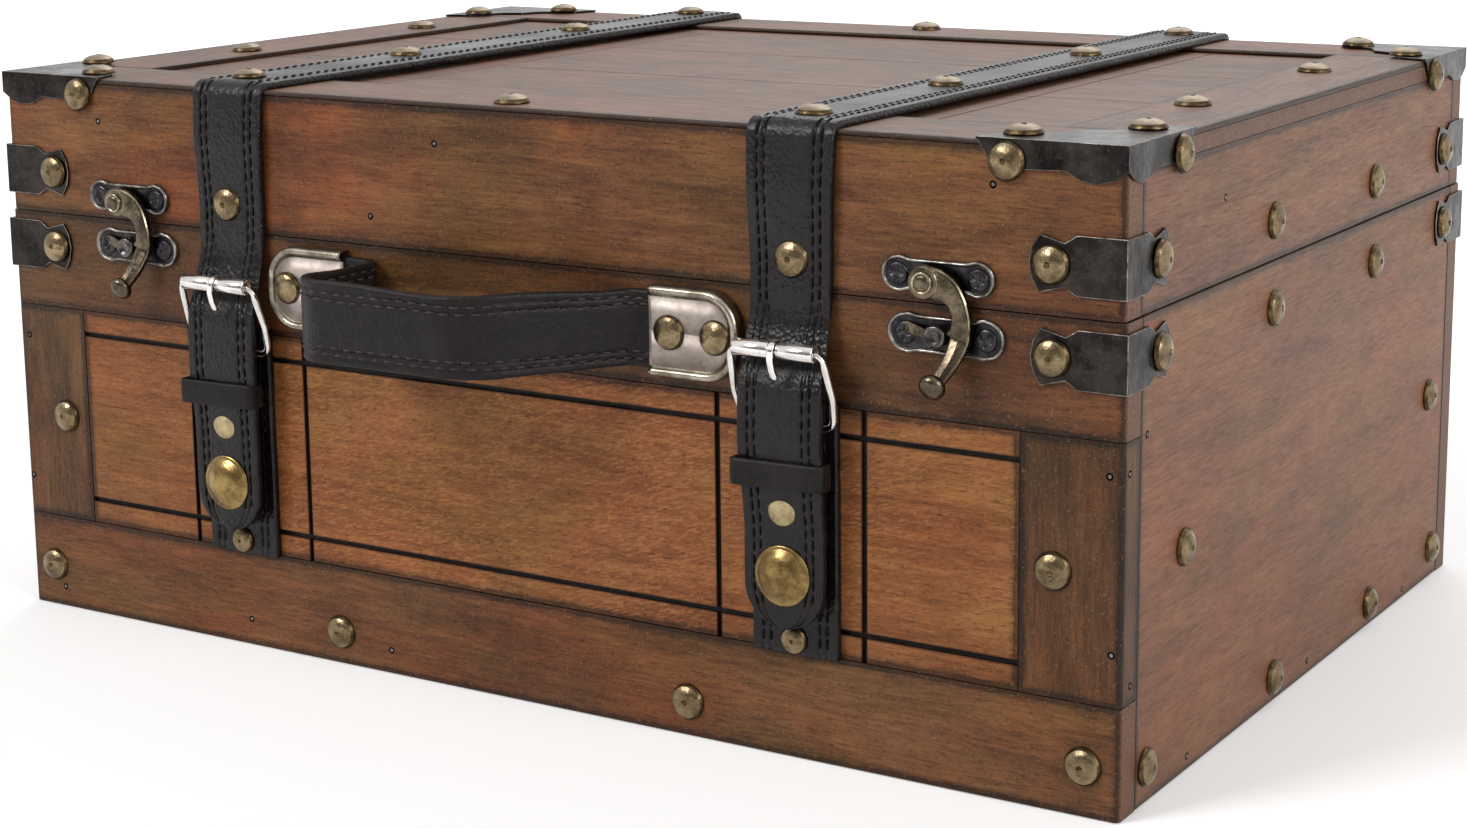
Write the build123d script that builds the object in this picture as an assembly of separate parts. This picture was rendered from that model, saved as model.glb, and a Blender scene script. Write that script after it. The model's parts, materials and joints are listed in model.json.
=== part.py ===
from build123d import *
import os
from math import atan, cos, degrees, pi, radians, tan

# Wooden storage trunk with a hinged lid, two swing hooks, two buckled straps and a leather handle.
# Millimetres. The origin is the centre of the underside, +X runs right along the front,
# the front faces -Y and +Z is up. Distances called "reach" run away from a corner or an edge.

os.makedirs("parts", exist_ok=True)

# Driving dimensions of the box
trunk_width = 360.0
trunk_depth = 250.0
lid_height = 40.4
seam_height = 121.4
seam_gap = 0.3
wall = 9.0
bottom_thickness = 6.0
corner_round = 1.5
board_gap = 0.25
overrun = 1.0

# Front of the box: two rails, two stiles and a grooved panel, all flush
rail_height = 28.2
stile_width = 26.7
groove_width = 1.3
groove_depth = 1.3
groove_inset = 7.0
groove_inner_gap = 23.7
groove_outer_gap = 18.9

# Lid: the raised border strips round a planked board
lid_side_inset = 0.5
strip_width = 29.5
strip_thickness = 1.4
plank_board = 4.6
plank_count = 3
plank_groove_width = 0.7
plank_groove_depth = 0.7

# Sheet metal brackets
sheet = 0.8
bracket_half_height = 7.2
bracket_reach = 24.2
bracket_band_reach = 11.8
bracket_notch_reach = 15.0
bracket_notch_half = 5.2
bracket_tip_reach = 21.4
bracket_tip_half = 6.9
body_bracket_drop = 9.8
lid_bracket_rise = 12.4
cap_reach = 39.0
cap_leg_drop = 7.4
cap_lobe_drop = 9.4
cap_lobe_reach = 8.0
cap_lobe_start = 16.0
cap_waist_drop = 6.8
cap_corner_drop = 6.0
cap_shoulder_reach = 36.0
cap_shoulder_drop = 4.8
cap_foot_reach = 31.0
cap_top_width = 14.5
cap_top_bulge = 21.5
cap_top_shoulder = 9.0
cap_top_foot = 24.8
arc_steps = 4
corner_arc_share = 0.2929

# Domed nails: a cap on a square tapered shank
nail_radius = 5.0
nail_height = 2.5
nail_shank = 1.5
nail_length = 6.5
small_nail_radius = 3.8
small_nail_height = 1.8
nail_sides = 8
large_dome_sides = 12
screw_shank_sides = 4
nail_crown_share = 0.55
dome_shoulder_share = 0.8
dome_shoulder_height_share = 0.6
dome_crown_share = 0.4
bracket_nail_reach = 18.4
cap_nail_reach = 30.0
cap_nail_drop = 4.6
cap_top_nail_inset = 8.0
stile_nail_inset = 17.8
stile_nail_height_share = 0.494
corner_nail_inset = 9.4
corner_nail_height = 12.7
rail_nail_place_share = 0.3244
rail_nail_height = 9.2
side_nail_front_share = -0.248
side_nail_back_share = 0.376
side_lid_nail_rise = 10.4
side_body_nail_drop = 12.4
side_low_front_share = -0.706
side_low_back_share = 0.814
side_low_nail_height_share = 0.488
side_foot_nail_height = 6.8
side_foot_inner_share = -0.195
side_foot_outer_share = 0.42
side_foot_corner_inset = 6.4
side_foot_corner_height = 9.4
strip_nail_inset = 8.5
side_strip_nail_inset = 19.0
side_strip_front_share = -0.328
side_strip_back_share = 0.384

# Straps
strap_width = 25.0
strap_thickness = 2.2
strap_inset = 88.0
strap_flex_drop = 6.4
strap_back_clearance = 1.4
strap_bend = 1.2
strap_nail_rise = 8.1
strap_back_nail_rise = 8.0
strap_nail_front = 9.0
strap_nail_second_share = 0.316
strap_nail_third_share = 0.672
strap_nail_back = 12.0
base_strap_rise = 6.0
base_strap_drop = 93.2
end_nail_rise = 3.7
tail_width = 23.0
tail_tip_drop = 85.1
tail_tip_round = 11.0
flex_gap = 0.35
strap_step_start = 2.0

# Roller buckles
roller_drop = 13.5
roller_radius = 2.2
roller_length = 10.3
roller_gap = 0.2
roller_sides = 16
bar_radius = 1.1
bar_clearance = 0.05
foot_clearance = 0.9
frame_half_width = 14.1
frame_thickness = 2.0
frame_bar = 2.0
frame_height = 19.9
frame_corner = 2.6
frame_widest_share = 0.62
frame_top_draw = 0.5
frame_foot_draw = 1.3
prong_width = 2.0
prong_length = 7.4
prong_eye_radius = 2.3
prong_thickness = 1.2
prong_root = 2.0
keeper_drop = 11.7
keeper_width = 7.2
keeper_thickness = 1.3
keeper_clearance = 0.4
tail_rivet_radius = 4.1
tail_rivet_head = 0.7
tail_rivet_foot_radius = 2.5
tail_rivet_foot = 0.4
tail_rivet_rise = 30.7
snap_radius = 7.9
snap_dome = 2.9
snap_rise = 13.9
snap_base_radius = 6.0
snap_base_head = 1.0
snap_gap = 0.3
rivet_shank_radius = 1.4

# Swing hooks and their catches
latch_offset = 1.35
latch_rise = 6.9
latch_spacing = 21.6
latch_lobe = 4.4
latch_waist = 3.1
latch_floor = 0.8
latch_rim = 0.6
latch_rim_width = 0.8
catch_shift = 2.2
catch_drop = 7.4
catch_lobe = 4.9
catch_waist = 3.9
pivot_shift = -2.2
pivot_drop = 1.2
hook_back = 1.9
hook_thickness = 2.6
eye_radius = 4.2
pivot_radius = 1.3
pivot_clearance = 0.05
pivot_head_radius = 2.7
pivot_head = 1.1
pivot_washer_radius = 3.2
washer_clearance = 0.1
hook_reach = 12.4
hook_reach_drop = 9.6
hook_crown_reach = 9.0
hook_crown_rise = 0.4
hook_tooth_reach = 6.05
hook_tooth_drop = 11.8
hook_throat_reach = 7.9
hook_throat_drop = 6.3
hook_throat_low_reach = 7.5
hook_throat_low_drop = 9.0
hook_eye_exit_reach = 6.3
hook_eye_start = 1.7
hook_eye_drop = 4.0
hook_shoulder_reach = 7.1
hook_shoulder_drop = 14.1
hook_belly_reach = 11.9
hook_belly_drop = 14.4
hook_inner_reach = 6.5
hook_inner_drop = 17.8
hook_end_outer = 7.4
hook_end_inner = 4.1
hook_end_drop = 24.0
hook_lean_drop = 13.0
hook_lean = 25.0
hook_ball_radius = 3.3
hook_ball_reach = 4.8
hook_ball_drop = 24.0
nub_radius = 2.8
nub_reach = 2.85
nub_height = 4.4
nub_round = 0.5
tongue_width = 2.6
tongue_thickness = 1.1
tongue_length = 9.2
tongue_tilt = 8.0
latch_screw_radius = 2.4
latch_screw_head = 0.7
latch_screw_shank = 1.1
latch_screw_length = 7.0

# Handle: two end plates and a leather loop
handle_rise = 0.55
handle_end_clearance = 0.3
handle_plate_length = 26.1
handle_plate_width = 23.0
handle_rim = 1.3
handle_rim_rise = 0.8
handle_plate_sheet = 0.8
handle_thickness = 2.4
handle_width = 20.0
handle_slot_clearance = 0.15
handle_tongue_length = 15.5
handle_rivet_outer_inset = 6.4
handle_rivet_spacing = 13.8
handle_rivet_radius = 4.6
handle_rivet_head = 2.1
handle_stand = 36.0
handle_plate_round = 8.8
handle_fold_share = 0.782
handle_slope_start_share = 0.32
handle_slope_foot_share = 0.86
handle_fold_radius = 3.6
handle_crown_radius_share = 0.214
handle_slope_radius_share = 0.356

# Butt hinges on the back
hinge_inset = 62.0
hinge_length = 38.0
hinge_leaf_width = 15.0
hinge_leaf = 1.2
hinge_pin_radius = 1.1
hinge_pin_clearance = 0.05
hinge_knuckle_radius = 2.3
hinge_knuckle_sides = 12
hinge_wood_clearance = 0.3
hinge_knuckle_gap = 0.3
hinge_leaf_round = 2.0
hinge_screw_place = 11.5
hinge_screw_drop = 9.0
hinge_screw_radius = 2.6
hinge_screw_head = 0.6
hinge_screw_shank = 1.2
hinge_screw_length = 6.5

# Derived places
half_width = trunk_width / 2
half_depth = trunk_depth / 2
front_face = -half_depth
back_face = half_depth
wood_height = seam_height + lid_height
body_top = seam_height - seam_gap / 2
lid_bottom = seam_height + seam_gap / 2
lid_half_width = half_width - lid_side_inset
plank_top = wood_height - strip_thickness
plank_bottom = plank_top - plank_board
body_bracket_height = seam_height - body_bracket_drop
lid_bracket_height = seam_height + lid_bracket_rise
strap_place = half_width - strap_inset
groove_places = (strap_place - groove_inner_gap, strap_place + groove_outer_gap)
latch_place = (strap_place + strap_width / 2 + half_width - bracket_reach) / 2 + latch_offset
latch_height = seam_height + latch_rise
catch_height = seam_height - catch_drop
hinge_place = half_width - hinge_inset
handle_height = body_top - rail_height / 2 + handle_rise
roller_height = seam_height - roller_drop
frame_foot_height = roller_height - frame_height
keeper_height = frame_foot_height - keeper_drop
strap_back_end = seam_height + hinge_leaf_width + strap_back_clearance
base_strap_bottom = seam_height - base_strap_drop
tail_tip_height = seam_height - tail_tip_drop
snap_height = tail_tip_height + snap_rise
tail_rivet_height = tail_tip_height + tail_rivet_rise
left_and_right = (("left", -1), ("right", 1))
flex_height = seam_height - strap_flex_drop
flex_y = front_face - flex_gap - strap_thickness / 2
upper_face = front_face - flex_gap - strap_thickness
foot_y = front_face - strap_thickness - flex_gap - frame_thickness / 2
tail_back = foot_y - frame_thickness / 2 - foot_clearance
tail_front = tail_back - strap_thickness
roller_y = tail_front - roller_gap - roller_radius
step_top = flex_height - strap_step_start
step_bottom = roller_height
snap_socket = front_face - strap_thickness - snap_base_head - snap_gap - tail_back
handle_end = strap_place - frame_half_width - frame_bar / 2 - handle_end_clearance
handle_mouth = handle_end - handle_plate_length
hinge_y = back_face + hinge_wood_clearance + hinge_knuckle_radius


def save(node, *solids):
    """Write one node: every solid of it stays a separate solid."""
    found = []
    for shape in solids:
        found += list(shape.solids())
    export_step(Compound(children=found), "parts/" + node + ".step")
    print(node, len(found))


def block(low, high):
    """A box between two opposite corners."""
    size = [b - a for a, b in zip(low, high)]
    middle = [(a + b) / 2 for a, b in zip(low, high)]
    return Pos(*middle) * Box(*size)


def arc_points(start, through, end):
    """Points along the arc through three points, with both its ends."""
    arc = ThreePointArc(start, through, end)
    places = [arc @ (index / arc_steps) for index in range(arc_steps + 1)]
    return [(place.X, place.Y) for place in places]


def outline_face(*points):
    """A flat face inside a closed run of points."""
    return make_face(Polyline(*points, close=True))


def disc(radius, height, sides=nail_sides):
    """A many-sided disc on local z = 0."""
    return extrude(RegularPolygon(radius, sides), height)


def frustum(radius, crown, height, sides):
    """A many-sided tapering disc on local z = 0, narrowing to the crown's radius."""
    lean = atan((radius - crown) * cos(pi / sides) / height)
    return extrude(RegularPolygon(radius, sides), height, taper=degrees(lean))


def sleeve(radius, bore, length, sides):
    """A many-sided tube along X about the origin, with a round bore."""
    ring = RegularPolygon(radius, sides) - Circle(bore)
    return Rot(0, 90, 0) * extrude(ring, length / 2, both=True)


def front_plane(x, z, y=front_face):
    """A plane on a front: local x is +X, local y is +Z, and it faces -Y."""
    return Plane(origin=(x, y, z), x_dir=(1, 0, 0), z_dir=(0, -1, 0))


def back_plane(x, z, y=back_face):
    """A plane on a back: it faces +Y."""
    return Plane(origin=(x, y, z), x_dir=(-1, 0, 0), z_dir=(0, 1, 0))


def side_plane(side, y, z, x=half_width):
    """A plane on the left (side -1) or right (side 1): it faces away from the box."""
    return Plane(origin=(side * x, y, z), x_dir=(0, side, 0), z_dir=(side, 0, 0))


def top_plane(x, y, z=wood_height):
    """A plane on a top, facing up."""
    return Plane(origin=(x, y, z))


# Boards of the box
def long_board(half, bottom, top, facing):
    """A board across the front (facing -1) or back (facing 1), its outer corners rounded."""
    middle = facing * (half_depth - wall / 2)
    outline = Pos(0, middle) * Rectangle(2 * half, wall)
    outer = [v for v in outline.vertices() if facing * v.Y > half_depth - wall / 2]
    outline = fillet(outer, corner_round)
    return extrude(Pos(0, 0, bottom) * outline, top - bottom)


def stile(side):
    """An upright of the front between the rails."""
    middle = side * (half_width - stile_width / 2)
    outline = Pos(middle, front_face + wall / 2) * Rectangle(stile_width, wall)
    outer = [v for v in outline.vertices() if v.Y < front_face + wall / 2 and side * v.X > side * middle]
    outline = fillet(outer, corner_round)
    height = body_top - 2 * rail_height - 2 * board_gap
    return extrude(Pos(0, 0, rail_height + board_gap) * outline, height)


def grooved_panel():
    """The lighter panel of the front, with two level grooves and four upright ones."""
    half = half_width - stile_width - board_gap
    bottom = rail_height + board_gap
    top = body_top - rail_height - board_gap
    panel = block((-half, front_face, bottom), (half, front_face + wall, top))
    cut_front = front_face - overrun
    cut_back = front_face + groove_depth
    for place in groove_places:
        for middle in (-place, place):
            near = middle - groove_width / 2
            far = near + groove_width
            panel -= block((near, cut_front, bottom - overrun), (far, cut_back, top + overrun))
    for level in (bottom + groove_inset, top - groove_inset):
        low = level - groove_width / 2
        cut = block((-half - overrun, cut_front, low), (half + overrun, cut_back, low + groove_width))
        panel -= cut
    return panel


def side_board(side, half, bottom, top):
    """A side wall between the front and the back."""
    inner = half - wall
    ends = sorted((side * inner, side * half))
    return block((ends[0], front_face + wall, bottom), (ends[1], back_face - wall, top))


def body_boards():
    save("front_panel", grooved_panel())
    save("front_bottom_rail", long_board(half_width, 0, rail_height, -1))
    save("front_top_rail", long_board(half_width, body_top - rail_height, body_top, -1))
    save("back_board", long_board(half_width, 0, body_top, 1))
    for name, side in left_and_right:
        save("front_" + name + "_stile", stile(side))
        save(name + "_side_board", side_board(side, half_width, 0, body_top))
    inner = half_width - wall
    bottom = block((-inner, front_face + wall, 0), (inner, back_face - wall, bottom_thickness))
    save("bottom_board", bottom)


# Boards of the lid
def planked_board():
    """The lid's board inside the border strips: three planks wide, with a cross line by each strap."""
    inner = lid_half_width
    low_y = front_face + wall
    board = block((-inner, low_y, plank_bottom), (inner, -low_y, plank_top))
    field_x = lid_half_width - strip_width
    field_y = half_depth - strip_width
    floor = plank_top - plank_groove_depth
    for index in range(1, plank_count):
        level = -field_y + index * 2 * field_y / plank_count
        near = level - plank_groove_width / 2
        board -= block((-field_x, near, floor), (field_x, near + plank_groove_width, plank_top + overrun))
    for place in groove_places:
        for middle in (-place, place):
            near = middle - plank_groove_width / 2
            board -= block((near, -field_y, floor), (near + plank_groove_width, field_y, plank_top + overrun))
    return board


def lid_boards():
    save("lid_front_board", long_board(lid_half_width, lid_bottom, plank_top, -1))
    save("lid_back_board", long_board(lid_half_width, lid_bottom, plank_top, 1))
    for name, side in left_and_right:
        save("lid_" + name + "_board", side_board(side, lid_half_width, lid_bottom, plank_bottom))
        ends = sorted((side * (lid_half_width - strip_width), side * lid_half_width))
        reach = half_depth - strip_width
        strip = block((ends[0], -reach, plank_top), (ends[1], reach, wood_height))
        save("lid_" + name + "_strip", strip)
    save("lid_planked_board", planked_board())
    for name, facing in (("front", -1), ("back", 1)):
        ends = sorted((facing * (half_depth - strip_width), facing * half_depth))
        strip = block((-lid_half_width, ends[0], plank_top), (lid_half_width, ends[1], wood_height))
        save("lid_" + name + "_strip", strip)


# Corner brackets
def bracket_outline():
    """One leg of an edge bracket: a band, a notch and a flared rounded end. The edge is at x = -sheet."""
    upper = [
        (-sheet, bracket_half_height),
        (bracket_band_reach, bracket_half_height),
        (bracket_notch_reach, bracket_notch_half),
    ]
    lower = [(x, -y) for x, y in reversed(upper)]
    tip = (bracket_tip_reach, bracket_tip_half)
    end = arc_points(tip, (bracket_reach, 0), (bracket_tip_reach, -bracket_tip_half))
    return outline_face(*upper, *end, *lower)


def edge_bracket(height, half):
    """A bracket wrapped round the front right upright edge."""
    outline = bracket_outline()
    front = Plane(origin=(half, front_face, height), x_dir=(-1, 0, 0), z_dir=(0, -1, 0))
    side = Plane(origin=(half, front_face, height), x_dir=(0, 1, 0), z_dir=(1, 0, 0))
    return extrude(front * outline, sheet) + extrude(side * outline, sheet)


def cap_leg_outline():
    """A leg of a lid corner cap, measured from its outer corner: x along the edge, y down from the top."""
    lobe_middle = (cap_lobe_reach, -cap_lobe_drop)
    lobe = arc_points((cap_lobe_start, -cap_waist_drop), lobe_middle, (0, -cap_corner_drop))
    return outline_face(
        (0, 0),
        (cap_reach, 0),
        (cap_shoulder_reach, -cap_shoulder_drop),
        (cap_foot_reach, -cap_leg_drop),
        *lobe,
    )


def cap_top_outline():
    """The top plate of a corner cap: two legs and a rounded inner corner."""
    return outline_face(
        (0, 0),
        (cap_reach, 0),
        (cap_shoulder_reach, cap_top_shoulder),
        (cap_top_foot, cap_top_width),
        (cap_top_bulge, cap_top_bulge),
        (cap_top_width, cap_top_foot),
        (cap_top_shoulder, cap_shoulder_reach),
        (0, cap_reach),
    )


def corner_cap():
    """The cap on the lid's front right top corner: a top plate and a leg down two faces."""
    corner = (lid_half_width + sheet, front_face - sheet, wood_height + sheet)
    leg = cap_leg_outline()
    front = Plane(origin=corner, x_dir=(-1, 0, 0), z_dir=(0, 1, 0))
    side = Plane(origin=corner, x_dir=(0, 1, 0), z_dir=(1, 0, 0))
    top = Plane(origin=corner, x_dir=(0, 1, 0), z_dir=(0, 0, 1))
    cap = extrude(front * leg, sheet)
    cap += extrude(side * leg, -sheet)
    cap += extrude(top * cap_top_outline(), -sheet)
    return cap


def four_corners(shape):
    """The shape and its mirror images, at all four corners."""
    pair = [shape, mirror(shape, Plane.YZ)]
    return pair + [mirror(s, Plane.XZ) for s in pair]


def brackets():
    save("body_edge_brackets", *four_corners(edge_bracket(body_bracket_height, half_width)))
    save("lid_edge_brackets", *four_corners(edge_bracket(lid_bracket_height, lid_half_width)))
    save("lid_corner_caps", *four_corners(corner_cap()))


# Domed nails
def dome(radius, height, sides=large_dome_sides):
    """A low many-sided dome on local z = 0, in two tapering tiers."""
    shoulder = radius * dome_shoulder_share
    rise = height * dome_shoulder_height_share
    upper = frustum(shoulder, radius * dome_crown_share, height - rise, sides)
    return frustum(radius, shoulder, rise, sides) + Pos(0, 0, rise) * upper


def nail(plane, radius=nail_radius, height=nail_height, lift=0.0, length=nail_length):
    """A domed nail driven along a plane's normal, its head lift above the plane."""
    head = Pos(0, 0, lift) * frustum(radius, radius * nail_crown_share, height, nail_sides)
    shank = Pos(0, 0, lift - length / 2) * Box(nail_shank, nail_shank, length)
    return plane * (head + shank)


def body_nails():
    nails = []
    for side in (-1, 1):
        edge_x = side * (half_width - bracket_nail_reach)
        nails.append(nail(front_plane(edge_x, body_bracket_height), lift=sheet))
        nails.append(nail(back_plane(edge_x, body_bracket_height), lift=sheet))
        for facing in (-1, 1):
            edge_y = facing * (half_depth - bracket_nail_reach)
            nails.append(nail(side_plane(side, edge_y, body_bracket_height), lift=sheet))
        stile_nail_height = body_top * stile_nail_height_share
        nails.append(nail(front_plane(side * (half_width - stile_nail_inset), stile_nail_height)))
        nails.append(nail(front_plane(side * (half_width - corner_nail_inset), corner_nail_height)))
        nails.append(nail(front_plane(side * half_width * rail_nail_place_share, rail_nail_height)))
        high = seam_height - side_body_nail_drop
        low = body_top * side_low_nail_height_share
        places = [
            (half_depth * side_nail_front_share, high),
            (half_depth * side_nail_back_share, high),
            (half_depth * side_low_front_share, low),
            (half_depth * side_low_back_share, low),
            (half_depth * side_foot_inner_share, side_foot_nail_height),
            (half_depth * side_foot_outer_share, side_foot_nail_height),
            (front_face + wall + side_foot_corner_inset, side_foot_corner_height),
            (back_face - wall - side_foot_corner_inset, side_foot_corner_height),
        ]
        for y, z in places:
            nails.append(nail(side_plane(side, y, z)))
        end = front_plane(side * strap_place, base_strap_bottom + end_nail_rise)
        nails.append(nail(end, small_nail_radius, small_nail_height, strap_thickness))
    save("body_dome_nails", *nails)


def lid_nails():
    nails = []
    cap_z = wood_height - cap_nail_drop
    cap_x = lid_half_width - cap_nail_reach
    cap_y = half_depth - cap_nail_reach
    edge_x = lid_half_width - bracket_nail_reach
    edge_y = half_depth - bracket_nail_reach
    for side in (-1, 1):
        nails.append(nail(front_plane(side * cap_x, cap_z), lift=sheet))
        nails.append(nail(back_plane(side * cap_x, cap_z), lift=sheet))
        nails.append(nail(front_plane(side * edge_x, lid_bracket_height), lift=sheet))
        nails.append(nail(back_plane(side * edge_x, lid_bracket_height), lift=sheet))
        for facing in (-1, 1):
            for y, z in ((facing * cap_y, cap_z), (facing * edge_y, lid_bracket_height)):
                nails.append(nail(side_plane(side, y, z, lid_half_width), lift=sheet))
            along = top_plane(side * cap_x, facing * (half_depth - cap_top_nail_inset))
            across = top_plane(side * (lid_half_width - cap_top_nail_inset), facing * cap_y)
            nails.append(nail(along, lift=sheet))
            nails.append(nail(across, lift=sheet))
        for share in (side_nail_front_share, side_nail_back_share):
            place = side_plane(side, half_depth * share, seam_height + side_lid_nail_rise, lid_half_width)
            nails.append(nail(place))
        for share in (side_strip_front_share, side_strip_back_share):
            nails.append(nail(top_plane(side * (lid_half_width - side_strip_nail_inset), half_depth * share)))
        front = front_plane(side * strap_place, seam_height + strap_nail_rise)
        nails.append(nail(front, lift=strap_thickness))
        back = back_plane(side * strap_place, strap_back_end + strap_back_nail_rise)
        nails.append(nail(back, lift=strap_thickness))
        second = trunk_depth * strap_nail_second_share
        third = trunk_depth * strap_nail_third_share
        for along in (strap_nail_front, second, third, trunk_depth - strap_nail_back):
            top = top_plane(side * strap_place, front_face + along)
            nails.append(nail(top, lift=strap_thickness))
    for facing in (-1, 1):
        nails.append(nail(top_plane(0, facing * (half_depth - strip_nail_inset))))
    save("lid_dome_nails", *nails)


# Straps
def lid_strap(side):
    """The strap over the lid, from its bending line on the front to its end on the back."""
    bottom = seam_height - strap_flex_drop + strap_thickness / 2 + flex_gap
    outer_front = front_face - strap_thickness
    outer_back = back_face + strap_thickness
    outer_top = wood_height + strap_thickness
    points = [
        (front_face, bottom),
        (outer_front, bottom),
        (outer_front, outer_top),
        (outer_back, outer_top),
        (outer_back, strap_back_end),
        (back_face, strap_back_end),
        (back_face, wood_height),
        (front_face, wood_height),
    ]
    outline = outline_face(*points)
    bends = [v for v in outline.vertices() if v.Y > outer_top - strap_thickness / 2]
    outline = fillet(bends, strap_thickness + strap_bend)
    start = side * strap_place - strap_width / 2
    plane = Plane(origin=(start, 0, 0), x_dir=(0, 1, 0), z_dir=(1, 0, 0))
    return extrude(plane * outline, strap_width)


def base_strap(side):
    """The strap fixed on the box below the lid strap's buckle."""
    low = (side * strap_place - strap_width / 2, front_face - strap_thickness, base_strap_bottom)
    high = (side * strap_place + strap_width / 2, front_face, frame_foot_height + base_strap_rise)
    return block(low, high)


def tail_strap(side):
    """The strap's free end: from the bending line out under the roller, over the foot bar, to its tip."""
    radius = strap_thickness / 2
    near = flex_y + radius
    back = [
        (near, flex_height),
        (near, step_top - radius),
        (tail_back, step_bottom),
        (tail_back, tail_tip_height),
        (tail_front, tail_tip_height),
        (tail_front, step_bottom + radius),
        (upper_face, step_top),
        (upper_face, flex_height),
    ]
    edge = Polyline(*back) + ThreePointArc(back[-1], (flex_y, flex_height + radius), back[0])
    start = side * strap_place - tail_width / 2
    plane = Plane(origin=(start, 0, 0), x_dir=(0, 1, 0), z_dir=(1, 0, 0))
    strap = extrude(plane * make_face(edge), tail_width)
    tip = [e for e in strap.edges().filter_by(Axis.Y) if e.center().Z < tail_tip_height + radius]
    return fillet(tip, tail_tip_round)


def keeper(side):
    """The leather loop round the free end."""
    half = tail_width / 2 + keeper_clearance
    low = keeper_height - keeper_width / 2
    high = keeper_height + keeper_width / 2
    inner_front = tail_front - keeper_clearance
    inner_back = tail_back + keeper_clearance
    middle = side * strap_place
    outer = block((middle - half - keeper_thickness, inner_front - keeper_thickness, low),
                  (middle + half + keeper_thickness, inner_back + keeper_thickness / 2, high))
    edges = [e for e in outer.edges().filter_by(Axis.Z) if e.center().Y < inner_front]
    outer = fillet(edges, keeper_thickness)
    inside = block((middle - half, inner_front, low - overrun), (middle + half, inner_back, high + overrun))
    return outer - inside


def frame_loop(half, length, inset):
    """A loop at an inset from the buckle frame's outline: its legs bow out between the bar and the foot."""
    widest = half - inset
    top = frame_bar / 2 - inset
    foot = -length - frame_bar / 2 + inset
    cut = frame_corner - inset / 2
    right = [
        (widest - frame_top_draw - cut, top),
        (widest - frame_top_draw, top - cut),
        (widest, -length * frame_widest_share),
        (widest - frame_foot_draw, foot + cut),
        (widest - frame_foot_draw - cut, foot),
    ]
    return outline_face(*right, *[(-x, y) for x, y in reversed(right)])


def buckle_frame(side):
    """A flat frame with bowed legs and a round bar across its top, which the roller turns on."""
    middle = side * strap_place
    half = frame_half_width + frame_bar / 2
    height = roller_height - frame_foot_height
    lean = Vector(0, foot_y - roller_y, -height).normalized()
    face_out = Vector(0, -1, 0) - lean * (Vector(0, -1, 0).dot(lean))
    plane = Plane(origin=(middle, roller_y, roller_height), x_dir=(1, 0, 0), z_dir=face_out)
    length = (height ** 2 + (foot_y - roller_y) ** 2) ** 0.5
    ring = frame_loop(half, length, 0) - frame_loop(half, length, frame_bar)
    low = -roller_radius - roller_gap
    high = frame_bar / 2 + overrun
    mouth = Pos(0, (low + high) / 2) * Rectangle(2 * (half - frame_bar), high - low)
    frame = extrude(plane * (ring - mouth), frame_thickness / 2, both=True)
    bar = Pos(middle, roller_y, roller_height) * Rot(0, 90, 0) * Cylinder(bar_radius, 2 * half - frame_bar)
    return frame + bar


def roller_sleeves(side):
    """Two sleeves on the top bar, one each side of the prong."""
    sleeves = []
    for hand in (-1, 1):
        reach = prong_width / 2 + roller_gap + roller_length / 2
        place = Pos(side * strap_place + hand * reach, roller_y, roller_height)
        sleeves.append(place * sleeve(roller_radius, bar_radius + bar_clearance, roller_length, roller_sides))
    return sleeves


def prong(side):
    """The prong: an eye round the bar between the sleeves, and a tapered tongue hanging over the strap."""
    front = -prong_eye_radius
    blade = outline_face(
        (front, 0),
        (0, 0),
        (front + prong_thickness, -prong_root),
        (front + 2 * prong_thickness, -prong_length),
        (front + prong_thickness, -prong_length),
    )
    outline = RegularPolygon(prong_eye_radius, large_dome_sides) + blade - Circle(bar_radius + bar_clearance)
    start = side * strap_place - prong_width / 2
    plane = Plane(origin=(start, roller_y, roller_height), x_dir=(0, 1, 0), z_dir=(1, 0, 0))
    return extrude(plane * outline, prong_width)


def tail_rivet(side):
    """A flat rivet through the free end, with a head on both faces."""
    plane = front_plane(side * strap_place, tail_rivet_height, tail_back)
    head = Pos(0, 0, strap_thickness) * disc(tail_rivet_radius, tail_rivet_head, large_dome_sides)
    shank = disc(rivet_shank_radius, strap_thickness, screw_shank_sides)
    foot = disc(tail_rivet_foot_radius, -tail_rivet_foot)
    return plane * (head + shank + foot)


def snap_cap(side):
    """The snap's domed cap on the free end and its socket beneath."""
    plane = front_plane(side * strap_place, snap_height, tail_back)
    head = Pos(0, 0, strap_thickness) * dome(snap_radius, snap_dome)
    shank = disc(rivet_shank_radius, strap_thickness, screw_shank_sides)
    foot = disc(snap_base_radius, -snap_socket, large_dome_sides)
    return plane * (head + shank + foot)


def straps():
    bases = []
    for name, side in left_and_right:
        save(name + "_lid_strap", lid_strap(side))
        save(name + "_base_strap", base_strap(side))
        save(name + "_strap_tail", tail_strap(side))
        save(name + "_keeper", keeper(side))
        save(name + "_buckle_frame", buckle_frame(side))
        save(name + "_roller_sleeves", *roller_sleeves(side))
        save(name + "_prong", prong(side))
        save(name + "_tail_rivet", tail_rivet(side))
        save(name + "_snap_cap", snap_cap(side))
        plane = front_plane(side * strap_place, snap_height, front_face - strap_thickness)
        bases.append(plane * disc(snap_base_radius, snap_base_head, large_dome_sides))
    save("snap_bases", *bases)


# Latches
def latch_plate(lobe, waist):
    """A plate with two round lobes, a waist and a raised rim."""
    def outline(shrink):
        reach = latch_spacing / 2
        web = Rectangle(latch_spacing, 2 * (waist - shrink))
        end = RegularPolygon(lobe - shrink, large_dome_sides)
        return web + Pos(-reach, 0) * end + Pos(reach, 0) * end

    plate = extrude(outline(0), latch_floor + latch_rim)
    return plate - Pos(0, 0, latch_floor) * extrude(outline(latch_rim_width), latch_rim + overrun)


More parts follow.
